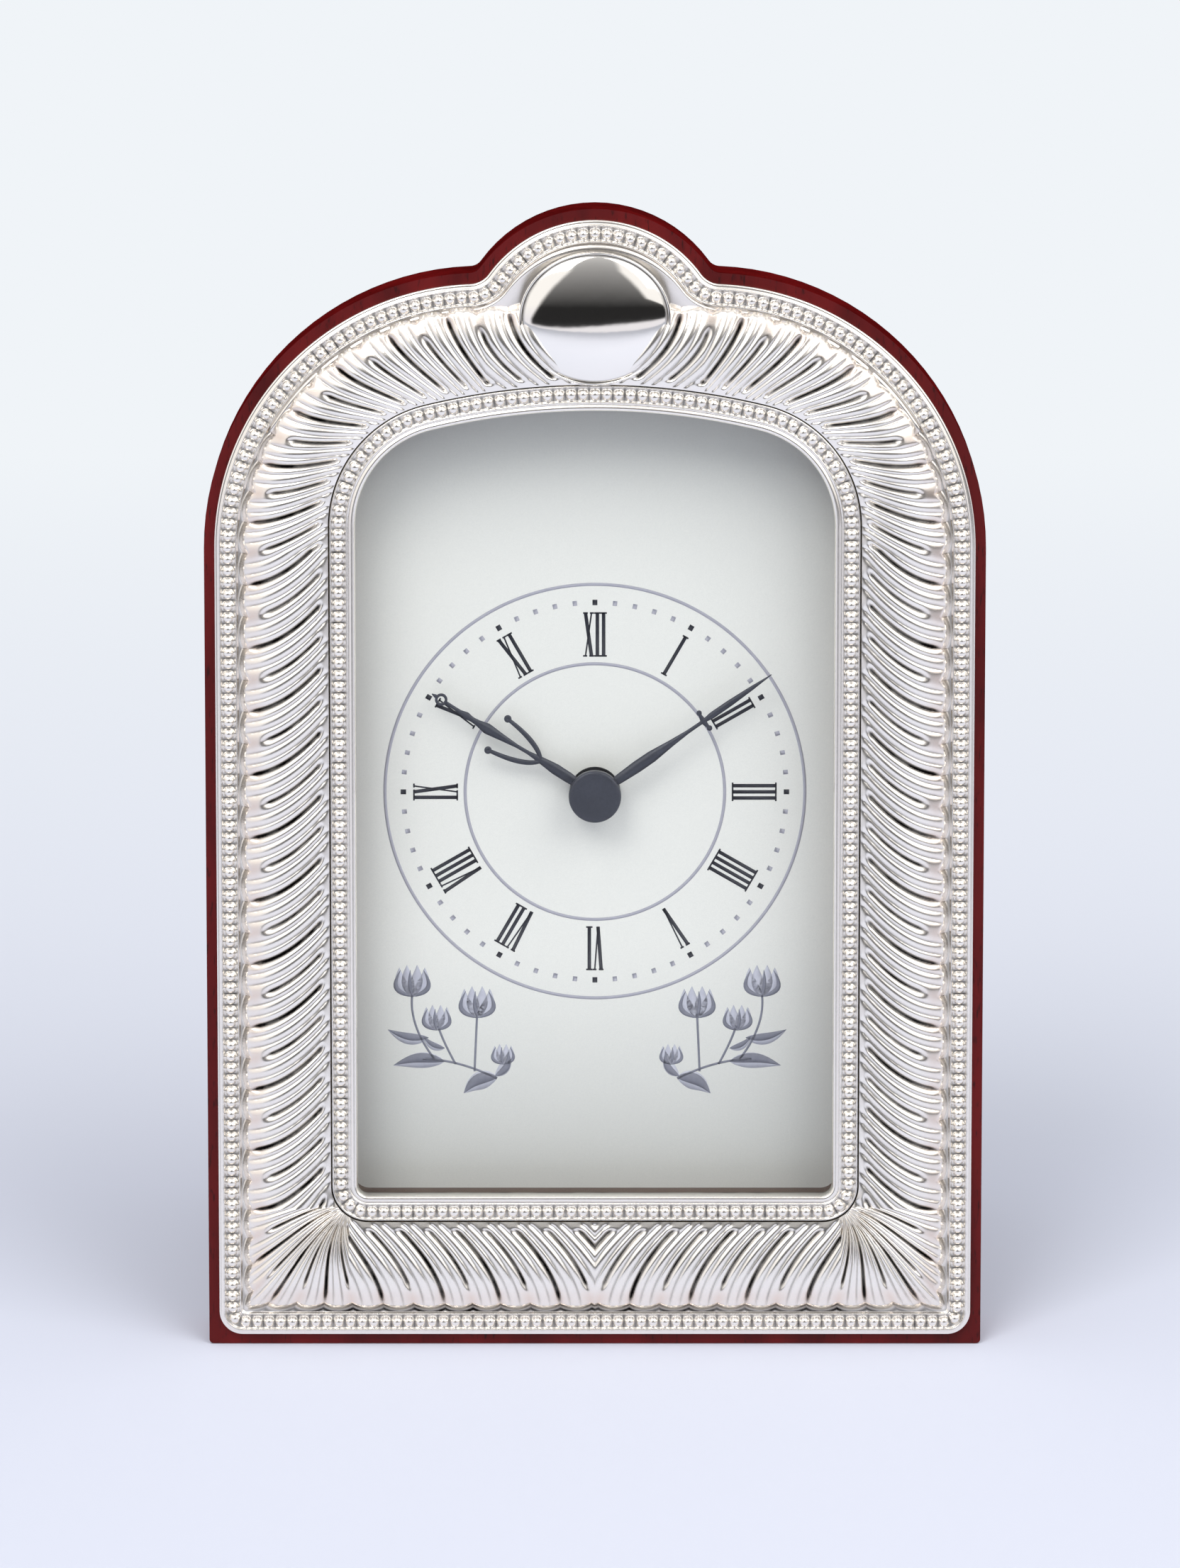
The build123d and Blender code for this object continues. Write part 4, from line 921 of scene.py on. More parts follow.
@dataclass
class SilverFront:
    """The pressed silver front: rim, two rows of beads, swirled flutes and the plain oval cartouche."""

    body: str = "frame"
    slot: str = "silver"
    window: Arch = field(default_factory=lambda: Arch(34.9, 22.8, 1.5, 14.5, 122.3, 101.0))
    flute_outer: Arch = field(default_factory=lambda: Arch(52.2, 4.9, 0.6, 36.4, 118.8, 600.0))
    outline: HumpedOutline = field(default_factory=HumpedOutline)
    bead_pitch: float = 1.72
    bead_radius: float = 0.775
    bead_stretch: float = 1.05
    inner_bead_lift: float = 0.9
    edge_height: float = 0.42
    edge_place: float = 1.16
    edge_width: float = 0.17
    step: float = 0.17
    outer_row_inset: float = 3.5
    inner_row_reach: float = 2.45
    inner_band_reach: float = 3.95
    guide_density: int = 6
    flute_columns: int = 70
    flute_pitch: float = 9.37
    flute_lead: float = 7.9
    crown_shares: tuple[float, ...] = (0.0, 0.28, 0.55, 1.0)
    crown_heights: tuple[float, ...] = (1.5, 3.25, 3.7, 2.5)
    cut_height: float = 1.0
    # distance along the outer outline in mm, and the period number there
    flute_marks: tuple[tuple[float, float], ...] = (
        (-10.0, -2.5),
        (0.0, -1.4),
        (12.95, 0.0),
        (21.75, 1.0),
        (30.0, 2.0),
        (93.5, 9.0),
        (149.8, 15.0),
        (243.5, 25.0),
    )
    grooves: tuple[Groove, ...] = (
        Groove(0.0, 0.95, 0.5, 1.5, Run.LONG),
        Groove(0.17, 0.34, 0.26, 0.4, Run.FINE),
        Groove(0.34, 0.34, 0.26, 0.5, Run.FINE),
        Groove(0.5, 0.8, 0.42, 1.25, Run.SHORT),
        Groove(0.67, 0.34, 0.26, 0.5, Run.FINE),
        Groove(0.84, 0.34, 0.26, 0.4, Run.FINE),
    )
    fan_centre: tuple[float, float] = (36.2, 21.07)
    oval_half: tuple[float, float] = (10.8, 9.5)
    oval_height: float = 152.8
    dome_foot: float = 2.75
    dome_rise: float = 1.75
    hump_field_start: float = 3.35
    hump_field_inset: float = 4.9
    cove_depth: float = 0.85
    cove_run: float = 2.2

    def beads(self, along: np.ndarray, across: np.ndarray, total: float) -> tuple[np.ndarray, np.ndarray]:
        """A row of round beads between two fine edge lines.

        A bead is the dome k r sqrt(1 - (u / r)^2 - (v / k r)^2), with u along the row and v across it from
        the bead's centre, and k the stretch. An edge line is a bell exp(-(d / width)^2), with d the
        distance from its middle. Tarnish lies where the dome is lower than the edge lines: black between
        two beads, and faint beside one.

        Args:
            along: Distances along the row.
            across: Distances from the row's middle.
            total: The half row's length, which takes a whole number of beads.

        Returns:
            Heights over the band, and how deep each point lies in a recess.
        """
        pitch = total / round(total / self.bead_pitch)
        share = (along / pitch + 0.5) % 1.0 - 0.5
        radius, stretch = self.bead_radius, self.bead_stretch
        inside = 1 - (share * pitch / radius) ** 2 - (across / (radius * stretch)) ** 2
        dome = radius * np.sqrt(np.clip(inside, 0.0, 1.0))
        edge = self.edge_height * np.exp(-(((np.abs(across) - self.edge_place) / self.edge_width) ** 2))
        low = np.clip(1 - dome / self.edge_height, 0.0, 1.0) * np.exp(-((across / 1.15) ** 6))
        recess = 0.95 * low * (0.06 + 0.94 * (2 * np.abs(share)) ** 4)
        return np.maximum(dome * stretch, edge), np.clip(recess, 0.0, 1.0)

    def outer_band(self) -> bpy.types.Object:
        """The rim and the outer row of beads, a profile carried round the humped outline.

        Returns:
            The piece.
        """
        middle = self.outer_row_inset
        places, ways = even_places(self.outline.runs(middle), self.step)
        bead_columns = np.linspace(-1.45, 1.45, 22)
        columns = np.concatenate(([-2.0, -2.0, -1.96, -1.85, -1.7], bead_columns, [1.7, 2.0, 2.5]))
        foot = np.concatenate(([0.0, 0.55, 0.82, 0.98, 1.0], np.ones_like(bead_columns), [0.93, 0.86, 0.8]))
        grid_way, grid_across = np.meshgrid(ways, columns, indexing="ij")
        lift, recess = self.beads(grid_way, grid_across, ways[-1])
        inside = np.abs(grid_across) < 1.5
        flat = self.outline.at(places[:, None], middle + columns[None, :])
        height = np.where(inside, lift, 0.0) + foot
        right = np.concatenate((flat, height[..., None]), axis=-1)
        marks = {"recess": np.where(inside, recess, 0.0), "blush": np.full_like(recess, 0.12)}
        ring, marks = both_halves(right, marks)
        return sheet_piece("silver_outer_beads", ring, marks, loop_rows=True)

    def inner_band(self) -> bpy.types.Object:
        """The inner row of beads and the smooth lip round the window, a profile carried round the arch.

        Returns:
            The piece.
        """
        middle = self.window.grown(self.inner_row_reach)
        places, ways = even_places(middle.runs(), self.step)
        bead_columns = np.linspace(-1.4, 1.4, 21)
        lip = np.array([-1.55, -1.75, -1.95, -2.15, -2.32, -2.42, -2.45, -2.45, -2.45])
        lip_height = np.array([2.35, 2.5, 2.55, 2.5, 2.35, 2.05, 1.7, 0.9, 0.0])
        columns = np.concatenate((lip[::-1], bead_columns, [1.55, 1.75]))
        foot = np.concatenate((lip_height[::-1], np.full_like(bead_columns, 2.2), [2.25, 2.2]))
        grid_way, grid_across = np.meshgrid(ways, columns, indexing="ij")
        lift, recess = self.beads(grid_way, grid_across, ways[-1])
        inside = np.abs(grid_across) < 1.45
        flat = np.stack([middle.grown(c).at(places) for c in columns], axis=1)
        height = np.where(inside, self.inner_bead_lift * lift, 0.0) + foot
        right = np.concatenate((flat, height[..., None]), axis=-1)
        # painted shade: the lip's wall darkens over the last 1.4 mm down to the board, at the window's edge
        wall = np.where(grid_across < -2.4, np.clip(1 - height / 1.4, 0.0, 1.0) * 0.9, 0.0)
        marks = {"recess": np.where(inside, recess, wall), "blush": np.full_like(recess, 0.1)}
        ring, marks = both_halves(right, marks)
        return sheet_piece("silver_inner_beads", ring, marks, loop_rows=True)

    def flute_profile(
        self, turn: np.ndarray, share: np.ndarray, way: np.ndarray, crowding: np.ndarray
    ) -> tuple[np.ndarray, np.ndarray, np.ndarray]:
        """Heights of the swirled flutes.

        The band's crown is a cubic in the share from outer to inner edge. Each period takes away cusped
        grooves, depth exp(-|d| / width): two deep and black, and four fine. The outer ends are cut to
        round scallops, with a painted shadow line along them that is blackest along the foot.

        Args:
            turn: Period numbers, whole at a deep groove.
            share: 0 at the outer edge and 1 at the inner edge.
            way: Distances from the middle of the foot.
            crowding: How much closer the lines lie at the inner edge, from 0 to 0.8. The tarnish stops
                short of the inner edge, and by more where they crowd.

        Returns:
            Heights over the board, recess marks and blush marks.
        """
        crown = np.polyval(np.polyfit(self.crown_shares, self.crown_heights, 3), share)
        worn = smooth_step((0.985 - 0.25 * crowding - share) / (0.07 + 0.13 * crowding))
        height = crown.copy()
        recess = np.zeros_like(share)
        for groove in self.grooves:
            apart = np.abs((turn - groove.phase + 0.5) % 1.0 - 0.5) * self.flute_pitch
            fade = groove.run.depth_share(share)
            height -= groove.depth * fade * np.exp(-apart / groove.width)
            stain = np.exp(-((apart / (0.45 * groove.width + 0.05)) ** 2))
            recess += groove.dark * fade * worn * stain
        scallop = np.abs(np.sin(2 * math.pi * turn))
        end = 0.055 - 0.045 * scallop**0.7
        rise = smooth_step((share - end) / 0.09)
        height = self.cut_height + (height - self.cut_height) * rise
        # painted shadow: a dark line along the scallops' cut ends, fading from 35 mm to 60 mm along the
        # outline
        painted_shadow = 0.25 + 0.85 * smooth_step((60.0 - way) / 25.0)
        recess += painted_shadow * np.exp(-(((share - end + 0.01) / 0.024) ** 2)) * (share > 0.004)
        # the warm tint is strongest just inside the notches between the scallops
        blush = 0.6 * np.exp(-(((share - 0.17) / 0.1) ** 2)) * (0.3 + 0.7 * (1 - scallop)) + 0.08
        return height, np.clip(recess, 0.0, 1.0), np.clip(blush, 0.0, 1.0)

    def guide(self) -> tuple[np.ndarray, np.ndarray, np.ndarray]:
        """Matches the outer outline's points to the inner outline's, along the band's right half.

        The foot and the crown are matched straight up, the sides level across, and the two corners by rays
        from one centre each: from the foot's fan centre, and from the centre of the outer corner arc. The
        density says how many places each millimetre of the outer outline gets.

        Returns:
            Outer points, inner points and the distance of each from the middle of the foot, along the
            outer outline.
        """
        outer, inner = self.flute_outer, self.window.grown(self.inner_band_reach)
        cx, cy = self.fan_centre
        tx, ty = outer.half - outer.corner_radius, outer.corner_height
        corner = outer.corner_radius * math.pi / 2
        lengths = np.array([cx, outer.half + cy - cx - outer.foot, ty - cy, corner, tx])
        places = even_places(lengths, 1 / self.guide_density)[0]
        run = np.clip(places.astype(int), 0, 4)
        share = places - run
        x = np.choose(run, [share * cx, cx, cx, tx, (1 - share) * tx])
        y = np.choose(run, [cy, cy, cy + share * (ty - cy), ty, ty])
        turn = np.choose(run, [-1.0, share - 1, 0.0, share, 1.0]) * math.pi / 2
        start, ray = np.column_stack((x, y)), np.column_stack((np.cos(turn), np.sin(turn)))
        outer_line, inner_line = outer.hit(start, ray), inner.hit(start, ray)
        steps = np.linalg.norm(np.diff(outer_line, axis=0), axis=1)
        return outer_line, inner_line, np.concatenate(([0.0], np.cumsum(steps)))

    def flutes(self, side: int) -> bpy.types.Object:
        """One half of the fluted band, from the middle of the foot to the cartouche.

        A point is the share s of the way from an outer point of the guide to its inner one. Its period
        number is read off between the flute marks at w + lead (1 - s^2), with w the distance along the
        outer outline, so the outer ends lean towards the middle of the foot.

        Args:
            side: 1 for the right half and -1 for the left.

        Returns:
            The piece.
        """
        outer_line, inner_line, ways = self.guide()
        shares = np.linspace(0.0, 1.0, self.flute_columns)
        s = shares[None, :, None]
        flat = (1 - s) * outer_line[:, None, :] + s * inner_line[:, None, :]
        way, share = np.meshgrid(ways, shares, indexing="ij")
        marks = np.array(self.flute_marks)
        turn = np.interp(way + self.flute_lead * (1 - share**2), marks[:, 0], marks[:, 1])
        inner_step = np.linalg.norm(np.gradient(inner_line, axis=0), axis=1)
        outer_step = np.linalg.norm(np.gradient(outer_line, axis=0), axis=1)
        crowding = np.clip(1 - inner_step / outer_step, 0.0, 0.8)[:, None]
        height, recess, blush = self.flute_profile(turn, share, way, crowding)
        grid = np.concatenate((flat, height[..., None]), axis=-1)
        grid[..., 0] *= side
        name = "silver_flutes_right" if side > 0 else "silver_flutes_left"
        return sheet_piece(name, grid, {"recess": recess, "blush": blush})

    def hump_field(self) -> bpy.types.Object:
        """The plain sheet under the cartouche.

        It is a cove that falls depth exp(-d / run) from the bead row, after a rise depth exp(-d / 0.12) out
        of the row's foot, with d the distance from the row. It starts a third along the corner arc, ends at
        the top of the hump, and comes down to a shallow arc behind the oval.

        Returns:
            The piece.
        """
        places = np.linspace(self.hump_field_start, 6.0 - 1e-9, 90)
        top = self.outline.at(places, np.full_like(places, self.hump_field_inset))
        low = np.stack((top[:, 0], np.minimum(top[:, 1] - 0.3, 152.0 - 0.012 * top[:, 0] ** 2)), axis=-1)
        shares = np.linspace(0.0, 1.0, 24)[None, :, None]
        flat = (1 - shares) * top[:, None, :] + shares * low[:, None, :]
        deep = np.linalg.norm(flat - top[:, None, :], axis=-1)
        rise = self.cove_depth * np.exp(-deep / 0.12)
        height = 0.97 + self.cove_depth * np.exp(-deep / self.cove_run) - rise
        grid = np.concatenate((flat, height[..., None]), axis=-1)
        mirror_image = grid[-2::-1] * np.array([-1.0, 1.0, 1.0])
        whole = np.concatenate((grid, mirror_image))
        marks = {"recess": np.full(whole.shape[:2], 0.05), "blush": np.full(whole.shape[:2], 0.15)}
        return sheet_piece("silver_hump_field", whole, marks)

    def cartouche(self) -> bpy.types.Object:
        """The plain domed oval in its fine ring moulding.

        Each radius r is a share of the oval's own, and its height comes from a profile: a dome
        foot + rise (1 - (r / 0.985)^2)^0.72, a narrow channel, and a half-round ring outside it.

        Returns:
            The piece.
        """
        dome = np.linspace(0.0, 0.972, 52)
        dome_height = self.dome_foot + self.dome_rise * np.clip(1 - (dome / 0.985) ** 2, 0.0, 1.0) ** 0.72
        turn = np.linspace(0.0, math.pi, 9)
        ring = 1.003 - 0.021 * np.cos(turn)
        ring_height = self.dome_foot + 0.3 * np.sin(turn)
        shares = np.concatenate((dome, [0.978], ring, [1.03, 1.034]))
        heights = np.concatenate((dome_height, [2.7], ring_height, [2.3, 0.9]))
        channel = np.concatenate((np.zeros(50), [0.3, 0.6, 0.75, 0.4], np.zeros(7), [0.3, 0.5, 0.6]))
        angles = np.linspace(0.0, 2 * math.pi, 192, endpoint=False)
        x = shares[None, :] * self.oval_half[0] * np.cos(angles)[:, None]
        y = shares[None, :] * self.oval_half[1] * np.sin(angles)[:, None] + self.oval_height
        z = np.broadcast_to(heights, x.shape)
        recess = np.broadcast_to(channel, x.shape)
        marks = {"recess": recess, "blush": np.zeros_like(x)}
        return sheet_piece("silver_cartouche", np.stack((x, y, z), axis=-1), marks, loop_rows=True)

    def build(self) -> None:
        """Makes the pieces and lets them stand for the CAD node."""
        for piece in (
            self.outer_band(),
            self.inner_band(),
            self.flutes(1),
            self.flutes(-1),
            self.hump_field(),
            self.cartouche(),
        ):
            finish = BURNISHED if piece.name == "silver_cartouche" else SILVER
            dress(piece, finish, self.body, self.slot, "silver_front")
            LOG.info("%s: %d faces", piece.name, len(piece.data.polygons))


@dataclass(frozen=True)
class Stroke:
    """A line of ink or metal: its middle line, its half widths, and whether it closes on itself."""

    line: np.ndarray
    half_width: Union[float, np.ndarray]
    closed: bool = False

    def edges(self) -> tuple[np.ndarray, np.ndarray]:
        """Sets the line's two sides square to its run.

        Returns:
            The points half a width to its left, and to its right.
        """
        if self.closed:
            ahead, behind = np.roll(self.line, -1, axis=0), np.roll(self.line, 1, axis=0)
            run = ahead - behind
        else:
            run = np.gradient(self.line, axis=0)
        run = run / np.maximum(np.linalg.norm(run, axis=1, keepdims=True), 1e-9)
        side = np.stack((-run[:, 1], run[:, 0]), axis=-1)
        reach = np.broadcast_to(self.half_width, (len(self.line),))[:, None] * side
        return self.line + reach, self.line - reach


def strokes_piece(
    name: str, strokes: Sequence[Stroke], low: float, high: float, crown: float = 0.0
) -> bpy.types.Object:
    """Makes one piece from many strokes, each a bar with a flat or slightly crowned face.

    The bar's section has five corners: two at its foot, two shoulders, and the middle of its face, which
    the crown lifts. An open stroke gets a four-cornered cap at each end.

    Args:
        name: The object's name.
        strokes: The strokes, in the flat frame.
        low: The height of the foot, in millimetres.
        high: The height of the face.
        crown: How far the middle of the face stands over its edges.

    Returns:
        The new object.
    """
    points, quads, start = [], [], 0
    for stroke in strokes:
        left, right = stroke.edges()
        middle = (left + right) / 2
        rows = [
            (left, low),
            (left, high - crown),
            (middle, high),
            (right, high - crown),
            (right, low),
        ]
        grid = np.stack([np.column_stack((p, np.full(len(p), h))) for p, h in rows], axis=1)
        count = len(grid)
        quad = grid_quads(count, 5, loop_rows=stroke.closed, loop_columns=True)
        if not stroke.closed:
            cap = np.array([[0, 1, 2, 3]])
            quad = np.concatenate((quad, cap, (count - 1) * 5 + cap[:, ::-1]))
        quads.append(quad + start)
        points.append(grid.reshape(-1, 3))
        start += count * 5
    return make_mesh(name, flat_to_room(np.concatenate(points)), np.concatenate(quads), smooth=False)


def circle(radius: float, count: int = 96, centre: Sequence[float] = (0.0, 0.0)) -> np.ndarray:
    """Points on a circle, anticlockwise, without the last one repeated."""
    turn = np.linspace(0.0, 2 * math.pi, count, endpoint=False)
    return np.column_stack((centre[0] + radius * np.cos(turn), centre[1] + radius * np.sin(turn)))


def turned(line: np.ndarray, clockwise: float) -> np.ndarray:
    """Turns points about the dial's centre.

    Args:
        line: Points (n, 2), measured from that centre.
        clockwise: The angle in degrees.

    Returns:
        Points (n, 2) in the flat frame.
    """
    a = math.radians(-clockwise)
    spin = np.array([[math.cos(a), -math.sin(a)], [math.sin(a), math.cos(a)]])
    return line @ spin.T + np.array([0.0, DIAL_HEIGHT])


@dataclass
class PrintedDial:
    """The dial's print: chapter ring, roman numerals, minute dots and two flower sprays."""

    body: str = "frame"
    ring_radii: tuple[float, float] = (30.9, 19.1)
    dot_radius: float = 28.2
    numeral_low: float = 20.2
    numeral_high: float = 26.7
    numerals: tuple[str, ...] = (
        "XII", "I", "II", "III", "IIII", "V", "VI", "VII", "VIII", "IX", "X", "XI",
    )
    ink: tuple[float, float] = (DIAL_FACE - 0.02, DIAL_FACE + 0.02)
    spray_across: tuple[float, float] = (18.7, 21.0)
    spray_drop: float = 35.5
    # stems by three points, leaves by foot, tip, half width and bend, flowers by middle and size
    stems: tuple = (
        ((-6.5, -7.6), (-1.0, -5.4), (4.5, -4.6)),
        ((-3.2, -6.5), (-3.4, -2.0), (-3.6, 2.2)),
        ((-0.4, -5.4), (1.2, -2.2), (2.2, 0.4)),
        ((2.6, -4.8), (5.4, 0.2), (6.0, 5.0)),
    )
    leaves: tuple = (
        ((-6.6, -7.4), (-1.6, -9.8), 1.35, 0.12),
        ((1.2, -5.0), (8.8, -5.6), 1.15, 0.06),
        ((3.6, -1.4), (9.6, -0.2), 0.85, -0.12),
        ((-6.2, -7.2), (-8.2, -3.6), 0.8, 0.15),
        ((1.2, -3.0), (4.4, -1.2), 0.55, -0.15),
    )
    flowers: tuple = ((-3.6, 3.2, 1.25), (2.4, 1.0, 1.0), (6.0, 6.4, 1.25), (-7.4, -4.4, 0.8))

    def letter_strokes(self, letter: str, left: float) -> list[tuple]:
        """Draws one letter of a numeral.

        Args:
            letter: I, V or X.
            left: The letter's left edge in millimetres.

        Returns:
            Its bars as start, end and width. Heights run from 0 at its foot to 1 at its head.
        """
        thick, thin, serif = 0.52, 0.22, 0.24
        if letter == "I":
            x = left + 0.46
            return [
                ((x, 0), (x, 1), thick),
                ((x - 0.47, 0.01), (x + 0.47, 0.01), serif),
                ((x - 0.47, 0.99), (x + 0.47, 0.99), serif),
            ]
        if letter == "V":
            return [
                ((left + 0.35, 1), (left + 0.82, 0), thick),
                ((left + 1.3, 1), (left + 0.82, 0), thin),
                ((left, 0.99), (left + 0.7, 0.99), serif),
                ((left + 1.05, 0.99), (left + 1.6, 0.99), serif),
            ]
        return [
            ((left + 0.35, 1), (left + 1.25, 0), thick),
            ((left + 1.25, 1), (left + 0.35, 0), thin),
            ((left, 0.99), (left + 0.7, 0.99), serif),
            ((left + 1.0, 0.99), (left + 1.6, 0.99), serif),
            ((left, 0.01), (left + 0.6, 0.01), serif),
            ((left + 0.9, 0.01), (left + 1.6, 0.01), serif),
        ]

    def numeral(self, word: str, hour: int) -> list[Stroke]:
        """Sets one numeral with its foot towards the centre.

        Args:
            word: The numeral's letters.
            hour: The hour it stands at.

        Returns:
            Its bars.
        """
        widths = {"I": 0.92, "V": 1.64, "X": 1.64}
        total = sum(widths[letter] for letter in word)
        left, strokes = -total / 2, []
        span = self.numeral_high - self.numeral_low
        for letter in word:
            for start, end, width in self.letter_strokes(letter, left):
                line = np.array([start, end], dtype=float)
                line[:, 1] = self.numeral_low + span * line[:, 1]
                strokes.append(Stroke(turned(line, 30.0 * hour), width / 2))
            left += widths[letter]
        return strokes

    def minute_dots(self, fives: bool) -> list[Stroke]:
        """Sets the minute dots.

        Args:
            fives: Whether to set those at each five minutes, or else the paler ones between.

        Returns:
            The dots.
        """
        size = 0.4 if fives else 0.36
        line = np.array([[0.0, self.dot_radius - size], [0.0, self.dot_radius + size]])
        return [Stroke(turned(line, 6.0 * m), size * 0.9) for m in range(60) if (m % 5 == 0) == fives]

    def leaf(self, foot: Sequence[float], tip: Sequence[float], width: float, bend: float) -> Stroke:
        """Draws a leaf or petal: a bent middle line with half width w sin(pi t^0.8) + 0.03.

        Args:
            foot: Where it starts, at t = 0.
            tip: Where it ends, at t = 1.
            width: Its half width w.
            bend: How far its middle bows to the left, as a share of its length.

        Returns:
            The leaf.
        """
        t = np.linspace(0.0, 1.0, 12)
        start, end = np.array(foot), np.array(tip)
        run = end - start
        side = np.array([-run[1], run[0]])
        line = start + t[:, None] * run + (bend * np.sin(math.pi * t))[:, None] * side
        return Stroke(line, width * np.sin(math.pi * t**0.8) + 0.03)

    def stem(self, points: Sequence[Sequence[float]], width: float = 0.13) -> Stroke:
        """Draws a thin stem.

        Args:
            points: Its foot, middle and head, which set a parabola.
            width: Its half width.

        Returns:
            The stem.
        """
        t = np.linspace(0.0, 1.0, 14)[:, None]
        a, b, c = (np.array(p, dtype=float) for p in points)
        control = 2 * b - (a + c) / 2
        line = (1 - t) ** 2 * a + 2 * t * (1 - t) * control + t**2 * c
        return Stroke(line, width)

    def spray(self, side: int) -> tuple[list[Stroke], list[Stroke]]:
        """Draws one flower spray: dark stems, and pale leaves and petals with a smaller dark shape on each.

        Args:
            side: 1 for the spray at the lower right and -1 for the one at the lower left.

        Returns:
            The dark strokes and the pale strokes.
        """
        x0, y0 = self.spray_across[0 if side > 0 else 1], DIAL_HEIGHT - self.spray_drop
        dark, pale = [], []
        for stem in self.stems:
            dark.append(self.stem(stem, 0.16))
        for foot, tip, width, bend in self.leaves:
            pale.append(self.leaf(foot, tip, width, bend))
            dark.append(self.leaf(foot, tip, width * 0.6, bend + 0.05))
        for cx, cy, size in self.flowers:
            for lean in (-1.5, -0.6, 0.6, 1.5):
                tip = (cx + lean * size, cy + (2.7 - 0.35 * abs(lean)) * size)
                pale.append(self.leaf((cx, cy - 1.3 * size), tip, 0.72 * size, -0.1 * lean))
            for lean, width in ((-1.35, 0.26), (1.35, 0.26), (0.2, 0.2)):
                tip = (cx + lean * size, cy + 1.9 * size)
                dark.append(self.leaf((cx, cy - 1.3 * size), tip, width * size, -0.28 * lean))
        place = np.array([x0, y0])
        moved = [
            [Stroke((s.line + place) * np.array([side, 1.0]), s.half_width) for s in group]
            for group in (dark, pale)
        ]
        return moved[0], moved[1]

    def build(self) -> None:
        """Makes the print as thin films of ink on the dial."""
        low, high = self.ink
        numerals = [s for hour, word in enumerate(self.numerals) for s in self.numeral(word, hour)]
        rings = [Stroke(turned(circle(r, 240), 0.0), 0.23, closed=True) for r in self.ring_radii]
        sprays = [self.spray(1), self.spray(-1)]
        groups = (
            ("dial_numerals", numerals + self.minute_dots(True), INK, high),
            ("dial_rings", rings + self.minute_dots(False), LINE_INK, high),
            ("dial_spray_pale", [s for _, pale in sprays for s in pale], SPRAY_PALE, high - 0.01),
            ("dial_spray_dark", [s for dark, _ in sprays for s in dark], SPRAY_DARK, high),
        )
        for name, strokes, finish, face in groups:
            piece = strokes_piece(name, strokes, low, face)
            dress(piece, finish, self.body, "dial_silvering")
            LOG.info("%s: %d strokes", name, len(strokes))


